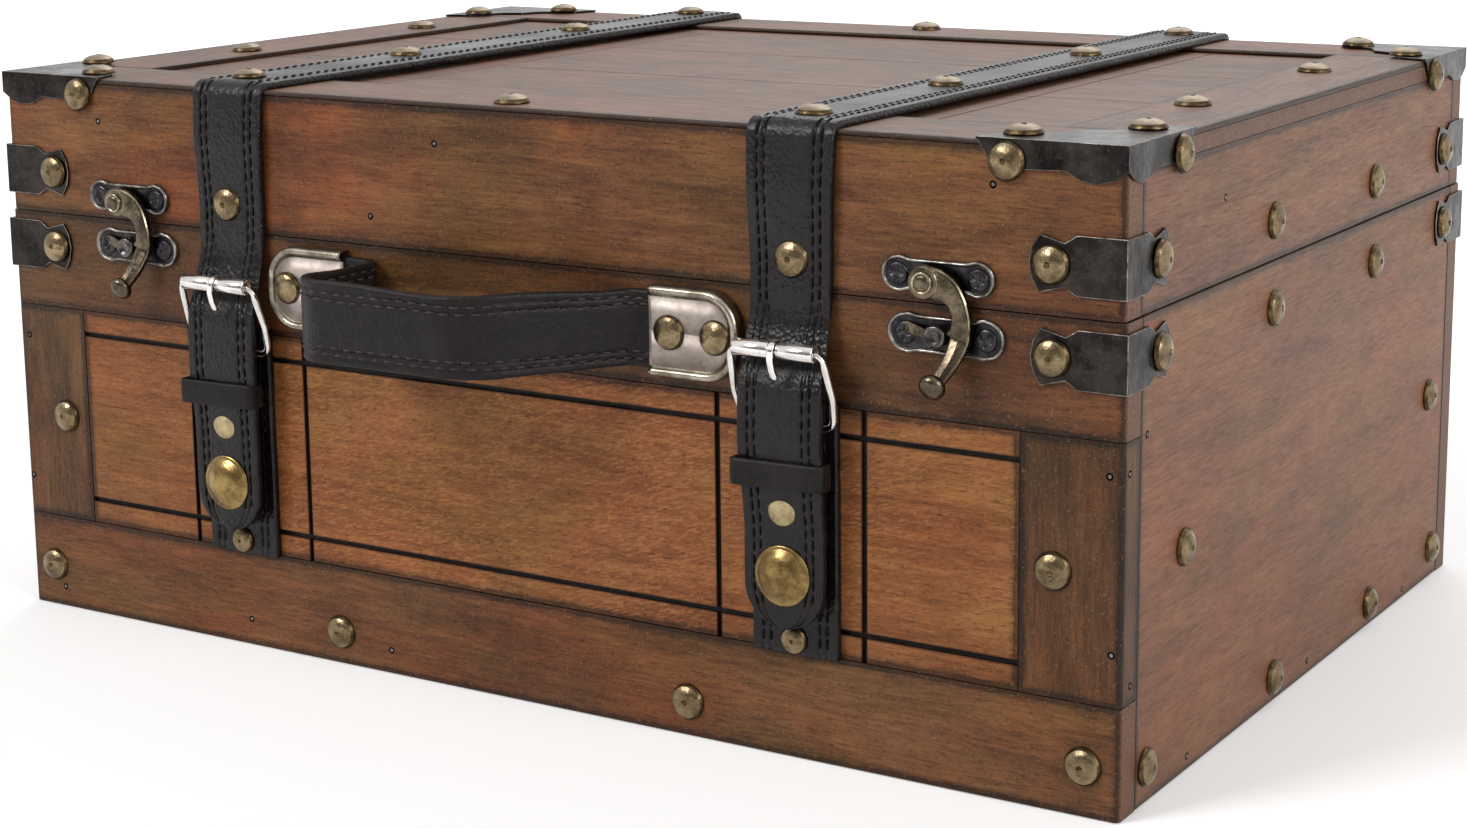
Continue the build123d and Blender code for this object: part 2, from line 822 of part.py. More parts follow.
def latch_screw(plane):
    """A countersunk screw standing in a plate."""
    head = Pos(0, 0, latch_floor) * disc(latch_screw_radius, latch_screw_head)
    length = latch_screw_length + latch_floor
    shank = Pos(0, 0, latch_floor - length) * disc(latch_screw_shank, length, screw_shank_sides)
    return plane * (head + shank)


def hook_pivot_place(side):
    return side * latch_place + pivot_shift, latch_height - pivot_drop


def hook_rivet(side):
    """The rivet that a hook turns on, its washer and its domed head."""
    x, z = hook_pivot_place(side)
    washer = Pos(0, 0, latch_floor) * disc(pivot_washer_radius, hook_back - washer_clearance - latch_floor)
    shaft_start = hook_back - washer_clearance
    head_start = hook_back + hook_thickness + washer_clearance
    shaft = Pos(0, 0, shaft_start) * extrude(Circle(pivot_radius), head_start - shaft_start)
    length = latch_screw_length / 2 + latch_floor
    root = Pos(0, 0, latch_floor) * disc(pivot_radius, -length, screw_shank_sides)
    head = Pos(0, 0, head_start) * dome(pivot_head_radius, pivot_head)
    return front_plane(x, z) * (washer + shaft + root + head)


def hook_outline():
    """The hook's arm seen from the front, with the pivot at the origin."""
    crown = (0, eye_radius)
    far = (hook_reach, -hook_reach_drop)
    over = arc_points(crown, (hook_crown_reach, hook_crown_rise), far)
    end = (hook_end_outer, -hook_end_drop)
    belly = arc_points(far, (hook_belly_reach, -hook_belly_drop), end)
    inner_end = (hook_end_inner, -hook_end_drop)
    shoulder = (hook_shoulder_reach, -hook_shoulder_drop)
    inside = arc_points(inner_end, (hook_inner_reach, -hook_inner_drop), shoulder)
    tooth_foot = (hook_tooth_reach, -hook_tooth_drop - tongue_thickness / 2)
    tooth_top = (hook_tooth_reach, -hook_tooth_drop + tongue_thickness / 2)
    throat_low = (hook_throat_low_reach, -hook_throat_low_drop)
    throat_end = (hook_eye_exit_reach, -hook_eye_drop)
    throat = arc_points(throat_low, (hook_throat_reach, -hook_throat_drop), throat_end)
    eye_start = (hook_eye_start, -hook_eye_drop)
    return outline_face(*over, *belly[1:], *inside, tooth_foot, tooth_top, *throat, eye_start, (0, 0))


def turned_ball():
    """The ball at the hook's end, turned in flat bands."""
    half = dome(hook_ball_radius, hook_ball_radius, nail_sides)
    return half + mirror(half, Plane.XY)


def hook(side):
    """A swing hook: an eye, a curved arm with a tooth, and a lower end that leans out to a ball."""
    arm = extrude(hook_outline() + RegularPolygon(eye_radius, large_dome_sides), hook_thickness)
    split = Plane(origin=(0, -hook_lean_drop, 0), x_dir=(1, 0, 0), z_dir=(0, 1, 0))
    upper = arm.split(split, keep=Keep.TOP)
    lower = arm.split(split, keep=Keep.BOTTOM)
    lean_axis = Axis((0, -hook_lean_drop, 0), (1, 0, 0))
    lower = lower.rotate(lean_axis, -hook_lean)
    below = hook_ball_drop - hook_lean_drop
    ball_out = below * tan(radians(hook_lean)) + hook_thickness / 2
    ball = Pos(hook_ball_reach, -hook_ball_drop, ball_out) * turned_ball()
    bore = Cylinder(pivot_radius + pivot_clearance, 2 * (hook_thickness + overrun))
    x, z = hook_pivot_place(side)
    return front_plane(x, z, front_face - hook_back) * (upper + lower + ball - bore)


def catch(side):
    """A catch plate with a tongue that rises to the nub beside the hook's tooth."""
    plate = latch_plate(catch_lobe, catch_waist)
    pivot_x, pivot_z = hook_pivot_place(side)
    x = side * latch_place + catch_shift
    place = Pos(pivot_x + nub_reach - x, pivot_z - hook_lean_drop - catch_height)
    nub = disc(nub_radius, nub_height - nub_round)
    nub += Pos(0, 0, nub_height - nub_round) * disc(nub_radius - nub_round, nub_round)
    rise = nub_height - nub_round - tongue_thickness
    tongue = outline_face(
        (0, rise),
        (0, rise + tongue_thickness),
        (-tongue_length, latch_floor + tongue_thickness),
        (-tongue_length, 0),
        (-tongue_length + tongue_thickness, 0),
    )
    tongue = Rot(0, 0, -tongue_tilt) * extrude(Plane.XZ * tongue, tongue_width / 2, both=True)
    return front_plane(x, catch_height) * (plate + place * (nub + tongue))


def latches():
    plates = []
    lid_screws = []
    rivets = []
    catches = []
    catch_screws = []
    for name, side in left_and_right:
        plane = front_plane(side * latch_place, latch_height)
        plates.append(plane * latch_plate(latch_lobe, latch_waist))
        rivets.append(hook_rivet(side))
        save(name + "_hook", hook(side))
        catches.append(catch(side))
        for hand in (-1, 1):
            reach = hand * latch_spacing / 2
            lid_screws.append(latch_screw(front_plane(side * latch_place + reach, latch_height)))
            catch_x = side * latch_place + catch_shift + reach
            catch_screws.append(latch_screw(front_plane(catch_x, catch_height)))
    save("hook_plates", *plates)
    save("hook_plate_screws", *lid_screws)
    save("hook_rivets", *rivets)
    save("catch_plates", *catches)
    save("catch_screws", *catch_screws)


# Handle
def handle_plate(side):
    """An end plate: a D with a rolled rim, open towards the loop, over the end of the leather."""
    floor = handle_thickness + handle_slot_clearance
    height = floor + handle_plate_sheet + handle_rim_rise

    def outline(shrink):
        reach = handle_plate_length - shrink
        tall = handle_plate_width / 2 - shrink
        bend = handle_plate_round - shrink
        drawn = bend * corner_arc_share
        upper = arc_points((reach - bend, tall), (reach - drawn, tall - drawn), (reach, tall - bend))
        lower = [(x, -y) for x, y in reversed(upper)]
        return outline_face((0, tall), *upper, *lower, (0, -tall))

    plate = extrude(outline(0), height)
    plate -= Pos(0, 0, floor + handle_plate_sheet) * extrude(outline(handle_rim), handle_rim_rise + overrun)
    pocket = extrude(outline(handle_rim), floor)
    plate -= pocket + Pos(-overrun, 0, 0) * pocket
    whole = front_plane(handle_mouth, handle_height) * plate
    return whole if side > 0 else mirror(whole, Plane.YZ)


def handle_strap():
    """The leather loop: it leaves the left plate, turns out sharply, and comes back to the right one."""
    tongue = handle_mouth + handle_tongue_length
    flat = front_face - handle_slot_clearance / 2 - handle_thickness / 2
    out = front_face - handle_stand
    fold = handle_mouth * handle_fold_share
    points = [
        (-tongue, flat),
        (-fold, flat),
        (-fold, out),
        (handle_mouth * handle_slope_start_share, out),
        (handle_mouth * handle_slope_foot_share, flat),
        (tongue, flat),
    ]
    crown_radius = handle_mouth * handle_crown_radius_share
    slope_radius = handle_mouth * handle_slope_radius_share
    radii = (handle_fold_radius, crown_radius, slope_radius, handle_fold_radius)
    ribbon = trace(FilletPolyline(*points, radius=radii), handle_thickness)
    return extrude(Pos(0, 0, handle_height - handle_width / 2) * ribbon, handle_width)


def handle_rivets():
    rivets = []
    floor = handle_thickness + handle_slot_clearance + handle_plate_sheet
    for side in (-1, 1):
        for inset in (handle_rivet_outer_inset, handle_rivet_outer_inset + handle_rivet_spacing):
            plane = front_plane(side * (handle_end - inset), handle_height)
            rivets.append(nail(plane, handle_rivet_radius, handle_rivet_head, floor, nail_length + floor))
    return rivets


def handle():
    for name, side in left_and_right:
        save(name + "_handle_plate", handle_plate(side))
    save("handle_strap", handle_strap())
    save("handle_rivets", *handle_rivets())


# Hinges
def hinge_knuckles(indexes, leaf_side):
    """Knuckles of one leaf, out of three: the outer two below, the middle one above."""
    third = hinge_length / 3
    length = third - hinge_knuckle_gap
    bore = hinge_pin_radius + hinge_pin_clearance
    ends = sorted((seam_height, seam_height + leaf_side * (hinge_knuckle_radius + hinge_knuckle_gap)))
    knuckles = []
    for index in indexes:
        middle = (index - 1) * third
        tube = sleeve(hinge_knuckle_radius, bore, length, hinge_knuckle_sides)
        tube = Pos(middle, hinge_y, seam_height) * tube
        left, right = middle - length / 2, middle + length / 2
        web = block((left, back_face, ends[0]), (right, back_face + hinge_leaf, ends[1]))
        knuckles.append(tube + web)
    return knuckles


def hinge_leaf_plate(side, upward, indexes):
    """A leaf screwed to the back, rolled round the pin at the seam."""
    leaf_side = 1 if upward else -1
    near = seam_height + leaf_side * (hinge_knuckle_radius + hinge_knuckle_gap)
    far = seam_height + leaf_side * hinge_leaf_width
    ends = sorted((near, far))
    half = hinge_length / 2
    plate = block((-half, back_face, ends[0]), (half, back_face + hinge_leaf, ends[1]))
    corners = [e for e in plate.edges().filter_by(Axis.Y) if abs(e.center().Z - far) < hinge_leaf]
    leaf = chamfer(corners, hinge_leaf_round)
    for knuckle in hinge_knuckles(indexes, leaf_side):
        leaf += knuckle
    bore = Pos(0, hinge_y, seam_height) * Rot(0, 90, 0)
    leaf -= bore * Cylinder(hinge_pin_radius + hinge_pin_clearance, hinge_length + 2 * overrun)
    return Pos(side * hinge_place, 0, 0) * leaf


def hinge_screw(x, z):
    head = disc(hinge_screw_radius, hinge_screw_head)
    shank = disc(hinge_screw_shank, -hinge_screw_length, screw_shank_sides)
    return back_plane(x, z, back_face + hinge_leaf) * (head + shank)


def hinges():
    pins = []
    body_screws = []
    lid_screws = []
    for name, side in left_and_right:
        save(name + "_hinge_body_leaf", hinge_leaf_plate(side, False, (0, 2)))
        save(name + "_hinge_lid_leaf", hinge_leaf_plate(side, True, (1,)))
        place = Pos(side * hinge_place, hinge_y, seam_height) * Rot(0, 90, 0)
        pins.append(place * Cylinder(hinge_pin_radius, hinge_length))
        for hand in (-1, 1):
            x = side * hinge_place + hand * hinge_screw_place
            body_screws.append(hinge_screw(x, seam_height - hinge_screw_drop))
            lid_screws.append(hinge_screw(x, seam_height + hinge_screw_drop))
    save("hinge_pins", *pins)
    save("body_hinge_screws", *body_screws)
    save("lid_hinge_screws", *lid_screws)


body_boards()
lid_boards()
brackets()
body_nails()
lid_nails()
straps()
latches()
handle()
hinges()
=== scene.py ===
import bpy
import json
import math
from mathutils import Matrix, Vector, noise

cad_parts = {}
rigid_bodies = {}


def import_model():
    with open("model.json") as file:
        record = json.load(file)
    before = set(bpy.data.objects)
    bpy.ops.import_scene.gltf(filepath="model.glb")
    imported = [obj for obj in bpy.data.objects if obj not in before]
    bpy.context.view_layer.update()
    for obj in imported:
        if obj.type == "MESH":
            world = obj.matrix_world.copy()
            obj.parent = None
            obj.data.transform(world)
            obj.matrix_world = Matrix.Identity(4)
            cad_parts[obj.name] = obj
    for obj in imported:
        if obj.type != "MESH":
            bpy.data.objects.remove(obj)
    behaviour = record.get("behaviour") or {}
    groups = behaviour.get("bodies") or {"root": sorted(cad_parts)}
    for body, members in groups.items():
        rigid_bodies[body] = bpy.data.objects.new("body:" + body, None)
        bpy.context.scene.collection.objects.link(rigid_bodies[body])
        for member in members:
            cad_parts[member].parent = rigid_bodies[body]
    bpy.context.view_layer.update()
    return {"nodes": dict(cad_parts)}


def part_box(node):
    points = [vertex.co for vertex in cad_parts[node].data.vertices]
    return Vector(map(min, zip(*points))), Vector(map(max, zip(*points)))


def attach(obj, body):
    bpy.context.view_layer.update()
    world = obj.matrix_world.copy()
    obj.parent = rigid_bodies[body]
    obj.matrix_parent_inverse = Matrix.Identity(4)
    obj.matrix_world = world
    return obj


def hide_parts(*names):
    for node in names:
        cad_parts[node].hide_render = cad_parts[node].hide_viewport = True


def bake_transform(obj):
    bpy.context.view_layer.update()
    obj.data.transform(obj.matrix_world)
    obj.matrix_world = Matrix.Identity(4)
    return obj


mm = 0.001
X = Vector((1, 0, 0))
Y = Vector((0, 1, 0))
Z = Vector((0, 0, 1))

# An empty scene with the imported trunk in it
for item in list(bpy.data.objects):
    bpy.data.objects.remove(item, do_unlink=True)
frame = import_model()
nodes = frame["nodes"]


# Shader building
class Graph:
    """A shader tree, with short calls that add nodes to it."""

    def __init__(self, tree):
        self.tree = tree
        tree.nodes.clear()

    def set(self, socket, value):
        """Links a socket, or sets it to a constant."""
        if isinstance(value, bpy.types.NodeSocket):
            self.tree.links.new(value, socket)
        elif isinstance(value, tuple) and len(value) == 3 and len(socket.default_value) == 4:
            socket.default_value = (*value, 1.0)
        else:
            socket.default_value = value

    def add(self, kind, inputs=None, **settings):
        node = self.tree.nodes.new("ShaderNode" + kind)
        for name, value in settings.items():
            setattr(node, name, value)
        for name, value in (inputs or {}).items():
            self.set(node.inputs[name], value)
        return node

    def math(self, operation, a, b=0.0, c=None, clamp=False):
        node = self.add("Math", {0: a, 1: b}, operation=operation, use_clamp=clamp)
        if c is not None:
            self.set(node.inputs[2], c)
        return node.outputs[0]

    def times(self, a, b):
        return self.math("MULTIPLY", a, b)

    def plus(self, a, b):
        return self.math("ADD", a, b)

    def less(self, a, b):
        return self.math("SUBTRACT", a, b)

    def parts(self, vector):
        return self.add("SeparateXYZ", {"Vector": vector}).outputs

    def spread(self, value, low, high, first=0.0, last=1.0, **settings):
        """Maps the range from low to high on the range from first to last, and holds it level beyond."""
        inputs = {"Value": value, "From Min": low, "From Max": high, "To Min": first, "To Max": last}
        return self.add("MapRange", inputs, **settings).outputs[0]

    def viewed(self):
        """1 on the rays that the camera sees, directly, mirrored or through glass."""
        rays = self.add("LightPath").outputs
        mirrored = self.math("MAXIMUM", rays["Is Glossy Ray"], rays["Is Transmission Ray"])
        return self.math("MAXIMUM", rays["Is Camera Ray"], mirrored)


class Look(Graph):
    """A material with a Principled shader."""

    def __init__(self, name):
        self.material = bpy.data.materials.new(name)
        self.material.use_nodes = True
        super().__init__(self.material.node_tree)
        self.shader = self.add("BsdfPrincipled")
        self.set(self.add("OutputMaterial").inputs[0], self.shader.outputs[0])
        self.place = self.add("TexCoord").outputs["Object"]

    def normal(self, axis):
        """How much the surface faces an axis of the object."""
        return self.parts(self.add("TexCoord").outputs["Normal"])["XYZ".index(axis)]

    def mapped(self, vector, **changes):
        """A vector with a new Scale, Location or Rotation."""
        return self.add("Mapping", {"Vector": vector, **changes}).outputs[0]

    def noise(self, scale, vector=None, detail=3.0, rough=0.55, distortion=0.0):
        inputs = {"Vector": vector or self.place, "Scale": scale, "Detail": detail,
                  "Roughness": rough, "Distortion": distortion}
        return self.add("TexNoise", inputs).outputs[0]

    def ramp(self, value, stops):
        """Colours or grey levels along a value. Each stop is a place and a colour or a level."""
        node = self.add("ValToRGB", {"Fac": value})
        places = node.color_ramp.elements
        while len(places) < len(stops):
            places.new(0.5)
        for point, (place, colour) in zip(places, stops):
            point.position = place
            point.color = (*colour, 1.0) if isinstance(colour, tuple) else (colour, colour, colour, 1.0)
        return node.outputs[0]

    def mix(self, share, a, b, kind="MIX"):
        node = self.add("Mix", {0: share, 6: a, 7: b}, data_type="RGBA", blend_type=kind)
        return node.outputs[2]

    def tone(self, colour, factor, share=1.0):
        """A colour multiplied by another."""
        return self.mix(share, colour, factor, "MULTIPLY")

    def bump(self, height, depth, strength=1.0, after=None):
        """Relief of the given depth in metres, on top of an earlier relief."""
        inputs = {"Height": height, "Distance": depth, "Strength": strength}
        if after:
            inputs["Normal"] = after
        return self.add("Bump", inputs).outputs[0]

    def edge_distance(self, low, high):
        """How far a point on a box is from the nearest edge of the face that it is on, in metres."""
        parts = self.parts(self.place)
        depths = []
        for axis in range(3):
            middle = (low[axis] + high[axis]) / 2
            half = (high[axis] - low[axis]) / 2
            depths.append(self.less(half, self.math("ABSOLUTE", self.less(parts[axis], middle))))
        lower = self.math("MINIMUM", depths[0], depths[1])
        upper = self.math("MAXIMUM", depths[0], depths[1])
        return self.math("MAXIMUM", lower, self.math("MINIMUM", upper, depths[2]))

    def finish(self, colour, rough, normal=None, **constants):
        self.set(self.shader.inputs["Base Color"], colour)
        self.set(self.shader.inputs["Roughness"], rough)
        if normal:
            self.set(self.shader.inputs["Normal"], normal)
        for name, value in constants.items():
            self.set(self.shader.inputs[name.replace("_", " ")], value)
        return self.material


# Stained wood: dark, middle and light stain, gloss, share of red blotches, share of smoky stains
STAINS = {
    "lid": (((0.076, 0.028, 0.010), (0.152, 0.058, 0.021), (0.235, 0.101, 0.037)), 0.22, 0.75, 1.0),
    "rail": (((0.058, 0.025, 0.009), (0.120, 0.051, 0.020), (0.185, 0.081, 0.032)), 0.22, 0.70, 1.0),
    "panel": (((0.142, 0.048, 0.015), (0.230, 0.084, 0.027), (0.330, 0.138, 0.050)), 0.20, 0.25, 0.4),
    "side": (((0.100, 0.036, 0.014), (0.178, 0.066, 0.026), (0.238, 0.098, 0.044)), 0.30, 0.30, 0.6),
    "top": (((0.070, 0.029, 0.015), (0.126, 0.055, 0.030), (0.178, 0.086, 0.052)), 0.25, 0.35, 1.0),
}
STAIN_LEVELS = (0.36, 0.50, 0.64)
RED = (1.18, 0.78, 0.56)
OLIVE = (0.90, 1.02, 0.74)
SPECK = (0.34, 0.20, 0.11)
GROOVE_DARK = (0.016, 0.009, 0.006)
END_GRAIN = ((0.35, (0.050, 0.021, 0.010)), (0.65, (0.190, 0.084, 0.042)))
TURNS = {"X": (0, 0, 0), "Y": (0, 0, math.radians(90)), "Z": (0, math.radians(90), 0)}
FLECK_TURN = (0, math.radians(17), 0)
RIM_WIDTH = 1.5 * mm
RIM_RAGGED = 2.2 * mm


def wood(node, grain, stain, seed, tint, figure, grooves, lines):
    """Stained, worn wood for one board: fibres along the grain, pores, blotches, dark edges and end grain."""
    look = Look("wood_" + node)
    shades, gloss, blush, unrest = STAINS[stain]
    shift = (seed * 1.37, seed * 0.71, seed * 0.43)
    along = look.mapped(look.place, Location=shift, Rotation=TURNS[grain])

    def grained(length_scale, cross_scale):
        return look.mapped(along, Scale=(length_scale, cross_scale, cross_scale))

    fibre = look.noise(1.0, grained(130, 1500), 2.5, 0.60)
    streak = look.noise(1.0, grained(16, 420), 3.0, 0.60)
    band = look.noise(1.0, grained(9, 60), 4.0, 0.60, 1.5)
    level = look.plus(look.times(streak, 0.18), look.times(fibre, 0.36))
    level = look.plus(level, look.times(band, 0.46))
    if figure:
        flecks = look.mapped(look.place, Location=shift, Rotation=FLECK_TURN)
        ray = look.noise(1.0, look.mapped(flecks, Scale=(430, 2100, 2100)), 1.0, 0.5)
        ray = look.ramp(ray, ((0.52, 0.46), (0.66, 1.0)))
        zone = look.ramp(look.noise(16.0, along, 2.0), ((0.40, 0.25), (0.62, 1.0)))
        level = look.plus(level, look.times(look.less(ray, 0.5), look.times(zone, figure)))
    tinted = [tuple(channel * tint for channel in shade) for shade in shades]
    colour = look.ramp(level, tuple(zip(STAIN_LEVELS, tinted)))

    # Red and olive blotches, smoky stains and dark pores
    red = look.ramp(look.noise(13.0, along, 3.0, 0.55, 0.5), ((0.44, 0.0), (0.60, 1.0)))
    olive = look.ramp(look.noise(34.0, grained(0.45, 1.0), 3.0, 0.6, 0.4), ((0.46, 0.0), (0.64, 1.0)))
    hue = look.mix(look.times(red, blush), (1.0, 1.0, 1.0), RED)
    hue = look.mix(look.times(olive, 0.7), hue, OLIVE)
    colour = look.tone(colour, hue)
    smoke = look.ramp(look.noise(38.0, grained(0.6, 1.0), 5.0, 0.66, 0.5), ((0.46, 1.0), (0.72, 0.50)))
    colour = look.tone(colour, smoke, unrest)
    flame = look.ramp(look.noise(1.0, grained(28, 120), 5.0, 0.68, 0.8), ((0.48, 0.93), (0.64, 1.10)))
    colour = look.tone(colour, flame, unrest)
    tick = look.ramp(look.noise(1.0, grained(210, 3000), 1.5, 0.5), ((0.58, 1.0), (0.70, 0.50)))
    colour = look.tone(colour, tick)

    # The stain is darker along the board's edges, by an uneven amount
    ragged = look.times(look.noise(210.0, along, 4.0, 0.7), RIM_RAGGED)
    edge = look.less(look.edge_distance(*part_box(node)), ragged)
    rim = look.math("MULTIPLY", edge, 1 / RIM_WIDTH, clamp=True)
    colour = look.tone(colour, look.ramp(rim, ((0.0, 0.16), (0.25, 0.66), (1.0, 1.0))), 0.85)

    # Pale specks and fine grime
    specks = look.ramp(look.noise(1900.0, None, 1.0, 0.5), ((0.66, 0.0), (0.74, 0.38)))
    colour = look.mix(specks, colour, SPECK)
    grime = look.ramp(look.noise(1150.0, grained(0.6, 1.0), 2.0, 0.6), ((0.30, 0.62), (0.42, 1.0)))
    colour = look.tone(colour, grime)

    rough = look.ramp(fibre, ((0.3, 0.50), (0.7, 0.40)))
    height = look.plus(look.times(fibre, 0.6), look.times(tick, 0.8))
    relief = look.bump(height, 0.045 * mm)
    relief = look.bump(look.noise(60.0, along, 2.0), 0.25 * mm, 0.5, relief)

    # Darker grooves, only near the face that they are cut in
    near = 1.0
    if grooves:
        axis, level_in, level_out = grooves
        span = level_in - level_out
        depth = look.parts(look.place)[axis]
        near = look.spread(depth, level_in + span * 2.6, level_in + span * 2.0)
        sunk = look.times(look.spread(depth, level_out, level_in), near)
        groove_patches = look.ramp(look.noise(420.0, along, 3.0, 0.7), ((0.3, 0.70), (0.6, 1.0)))
        colour = look.mix(look.times(sunk, groove_patches), colour, GROOVE_DARK)

    # End grain, on the faces square to the grain
    end = look.ramp(look.math("ABSOLUTE", look.normal(grain)), ((0.75, 0.0), (0.95, 1.0)))
    cut = look.ramp(look.noise(1400.0, None, 3.0, 0.7), END_GRAIN)
    colour = look.mix(look.times(end, 0.8), colour, cut)

    # The finish is darker beside each groove and along each joint
    for axis, place, reach in lines:
        off = look.math("ABSOLUTE", look.less(look.parts(look.place)[axis], place))
        line_dark = look.ramp(look.spread(off, reach, reach * 1.9), ((0.0, 0.14), (0.55, 0.60), (1.0, 1.0)))
        colour = look.tone(colour, line_dark, look.times(near, 0.95))
    return look.finish(colour, rough, relief, Specular_IOR_Level=gloss)


LEATHER = ((0.0032, 0.0020, 0.0020), (0.0095, 0.0066, 0.0064), (0.034, 0.029, 0.028))
LINT = (0.12, 0.105, 0.095)


def leather(name, shade=1.0, pebble=1.0, rough=(0.24, 0.40), lint=0.0, gloss=0.26):
    """Near-black leather with a pebbled grain, soft creases and a little wear."""
    look = Look(name)
    voronoi = look.add("TexVoronoi", {"Vector": look.place, "Scale": 1000.0}, feature="SMOOTH_F1")
    coarse = look.noise(380.0, None, 3.0, 0.65)
    dark, grey, scuffed = (tuple(channel * shade for channel in colour) for colour in LEATHER)
    worn = look.ramp(look.noise(55.0, None, 4.0, 0.6), ((0.55, 0.0), (0.8, 1.0)))
    colour = look.mix(look.times(worn, 0.3), look.ramp(coarse, ((0.3, dark), (0.7, grey))), scuffed)
    if lint:
        dust = look.ramp(look.noise(2600.0, None, 2.0, 0.5), ((0.70, 0.0), (0.78, lint)))
        colour = look.mix(dust, colour, LINT)
    relief = look.bump(voronoi.outputs["Distance"], 0.20 * mm, pebble)
    relief = look.bump(coarse, 0.15 * mm, 0.5, relief)
    relief = look.bump(look.noise(90.0, None, 3.0, 0.55, 0.8), 0.7 * mm, 0.4, relief)
    glint = look.ramp(look.noise(30.0, None, 2.0), ((0.35, rough[0]), (0.65, rough[1])))
    return look.finish(colour, glint, relief, Specular_IOR_Level=gloss)


DUST = (0.27, 0.225, 0.180)
DUST_ROUGH = (0.62, 0.62, 0.62)


def metal(name, bright, dull, tarnish, rough, scale, dents, spots, dust=0.0):
    """Aged metal: bright and tarnished areas, fine spots, small dents, and dust on what faces up."""
    look = Look(name)
    cloud = look.noise(scale, None, 5.0, 0.65, 0.2)
    pits = look.ramp(look.noise(scale * 9, None, 3.0, 0.7), ((0.56, 0.0), (0.68, spots)))
    colour = look.mix(pits, look.ramp(cloud, ((0.38, bright), (0.62, dull))), tarnish)
    glint = look.ramp(cloud, ((0.35, rough[0]), (0.65, rough[1])))
    if dust:
        settled = look.times(look.ramp(look.normal("Z"), ((0.45, 0.0), (0.90, 1.0))), dust)
        colour = look.mix(settled, colour, DUST)
        glint = look.mix(settled, glint, DUST_ROUGH)
    relief = look.bump(look.noise(scale * 1.6, None, 3.0, 0.55), dents * mm)
    relief = look.bump(look.noise(scale * 12, None, 2.0, 0.5), 0.02 * mm, 0.6, relief)
    return look.finish(colour, glint, relief, Metallic=1.0)


BRASS = metal("antique_brass", (0.275, 0.205, 0.112), (0.115, 0.082, 0.046), (0.026, 0.016, 0.010),
              (0.22, 0.34), 240.0, 0.25, 0.6, dust=0.75)
# Darker brass for the lower band of each domed head: tarnish, and painted shade where the dome turns away
# from the light
DARK_BRASS = metal("tarnished_brass_and_painted_shade", (0.115, 0.080, 0.040), (0.040, 0.026, 0.014), (0.014, 0.009, 0.006),
                   (0.30, 0.45), 420.0, 0.20, 0.6)
GILT = metal("gilt_snap_brass", (0.34, 0.235, 0.088), (0.150, 0.092, 0.036), (0.035, 0.020, 0.010),
             (0.24, 0.36), 190.0, 0.20, 0.6)
PALE_BRASS = metal("pale_spotted_brass", (0.46, 0.38, 0.22), (0.29, 0.225, 0.120), (0.05, 0.032, 0.018),
                   (0.30, 0.44), 300.0, 0.12, 0.9)
IRON = metal("dark_iron", (0.036, 0.031, 0.028), (0.011, 0.0095, 0.0095), (0.11, 0.092, 0.075),
             (0.22, 0.38), 90.0, 0.35, 0.25)
WORN_IRON = metal("worn_iron_edge", (0.28, 0.25, 0.225), (0.060, 0.054, 0.051), (0.03, 0.026, 0.023),
                  (0.30, 0.45), 260.0, 0.1, 0.5)
BRONZE = metal("antique_bronze", (0.150, 0.117, 0.078), (0.046, 0.036, 0.025), (0.013, 0.009, 0.007),
               (0.20, 0.32), 190.0, 0.25, 0.6)
# Brighter bronze on the hooks' rounded edges, eye rims and rivet rims: wear, and a painted highlight along
# those edges
BRONZE_WEAR_AND_HIGHLIGHT = metal("worn_bronze_edge_and_painted_highlight", (0.44, 0.37, 0.25), (0.13, 0.105, 0.070), (0.03, 0.022, 0.015),
                    (0.20, 0.32), 170.0, 0.1, 0.6)
PLATE = metal("dark_plate", (0.042, 0.040, 0.042), (0.014, 0.013, 0.015), (0.08, 0.07, 0.065),
              (0.26, 0.40), 260.0, 0.1, 0.3)
NUB = metal("worn_catch_iron", (0.16, 0.145, 0.14), (0.028, 0.025, 0.025), (0.03, 0.026, 0.023),
            (0.22, 0.34), 300.0, 0.2, 0.5)
PLATE_RIM = metal("bright_plate_rim", (0.34, 0.31, 0.275), (0.065, 0.058, 0.053), (0.03, 0.023, 0.02),
                  (0.26, 0.40), 210.0, 0.1, 0.5)
PEWTER = metal("antique_pewter", (0.43, 0.37, 0.33), (0.29, 0.245, 0.220), (0.08, 0.065, 0.06),
               (0.50, 0.62), 90.0, 0.08, 0.35)
PEWTER_RIM = metal("pewter_rim", (0.40, 0.355, 0.285), (0.165, 0.138, 0.105), (0.05, 0.04, 0.03),
                   (0.24, 0.36), 150.0, 0.08, 0.4)
NICKEL = metal("bright_nickel", (0.82, 0.80, 0.78), (0.66, 0.63, 0.60), (0.30, 0.26, 0.22),
               (0.10, 0.15), 90.0, 0.02, 0.25)
STEEL = metal("plated_steel", (0.42, 0.40, 0.37), (0.26, 0.24, 0.22), (0.08, 0.06, 0.05),
              (0.30, 0.42), 150.0, 0.08, 0.4)
BLACK = metal("black_screw_steel", (0.060, 0.056, 0.060), (0.022, 0.020, 0.022), (0.10, 0.09, 0.085),
              (0.28, 0.42), 500.0, 0.06, 0.3)
DARK_DENT = metal("dark_dent_brass", (0.16, 0.105, 0.050), (0.055, 0.036, 0.018), (0.020, 0.013, 0.008),
                  (0.40, 0.55), 900.0, 0.08, 0.5)
STRAP = leather("strap_leather", gloss=0.27)
STRAP_EDGE = leather("keeper_leather", 1.2, 0.5, (0.42, 0.55), 0.0, 0.20)
HANDLE = leather("handle_leather", 1.15, 0.6, (0.36, 0.52), 0.8, 0.20)
THREAD = leather("black_thread", 0.6, 0.3, (0.60, 0.75), 0.0, 0.12)
PALE_THREAD = leather("grey_thread", 4.5, 0.3, (0.4, 0.5))
# Near-black leather for small discs that paint the shade inside stitch holes and brad holes
HOLE_SHADE = leather("painted_hole_shade", 0.2, 0.2, (0.7, 0.8), 0.0, 0.02)


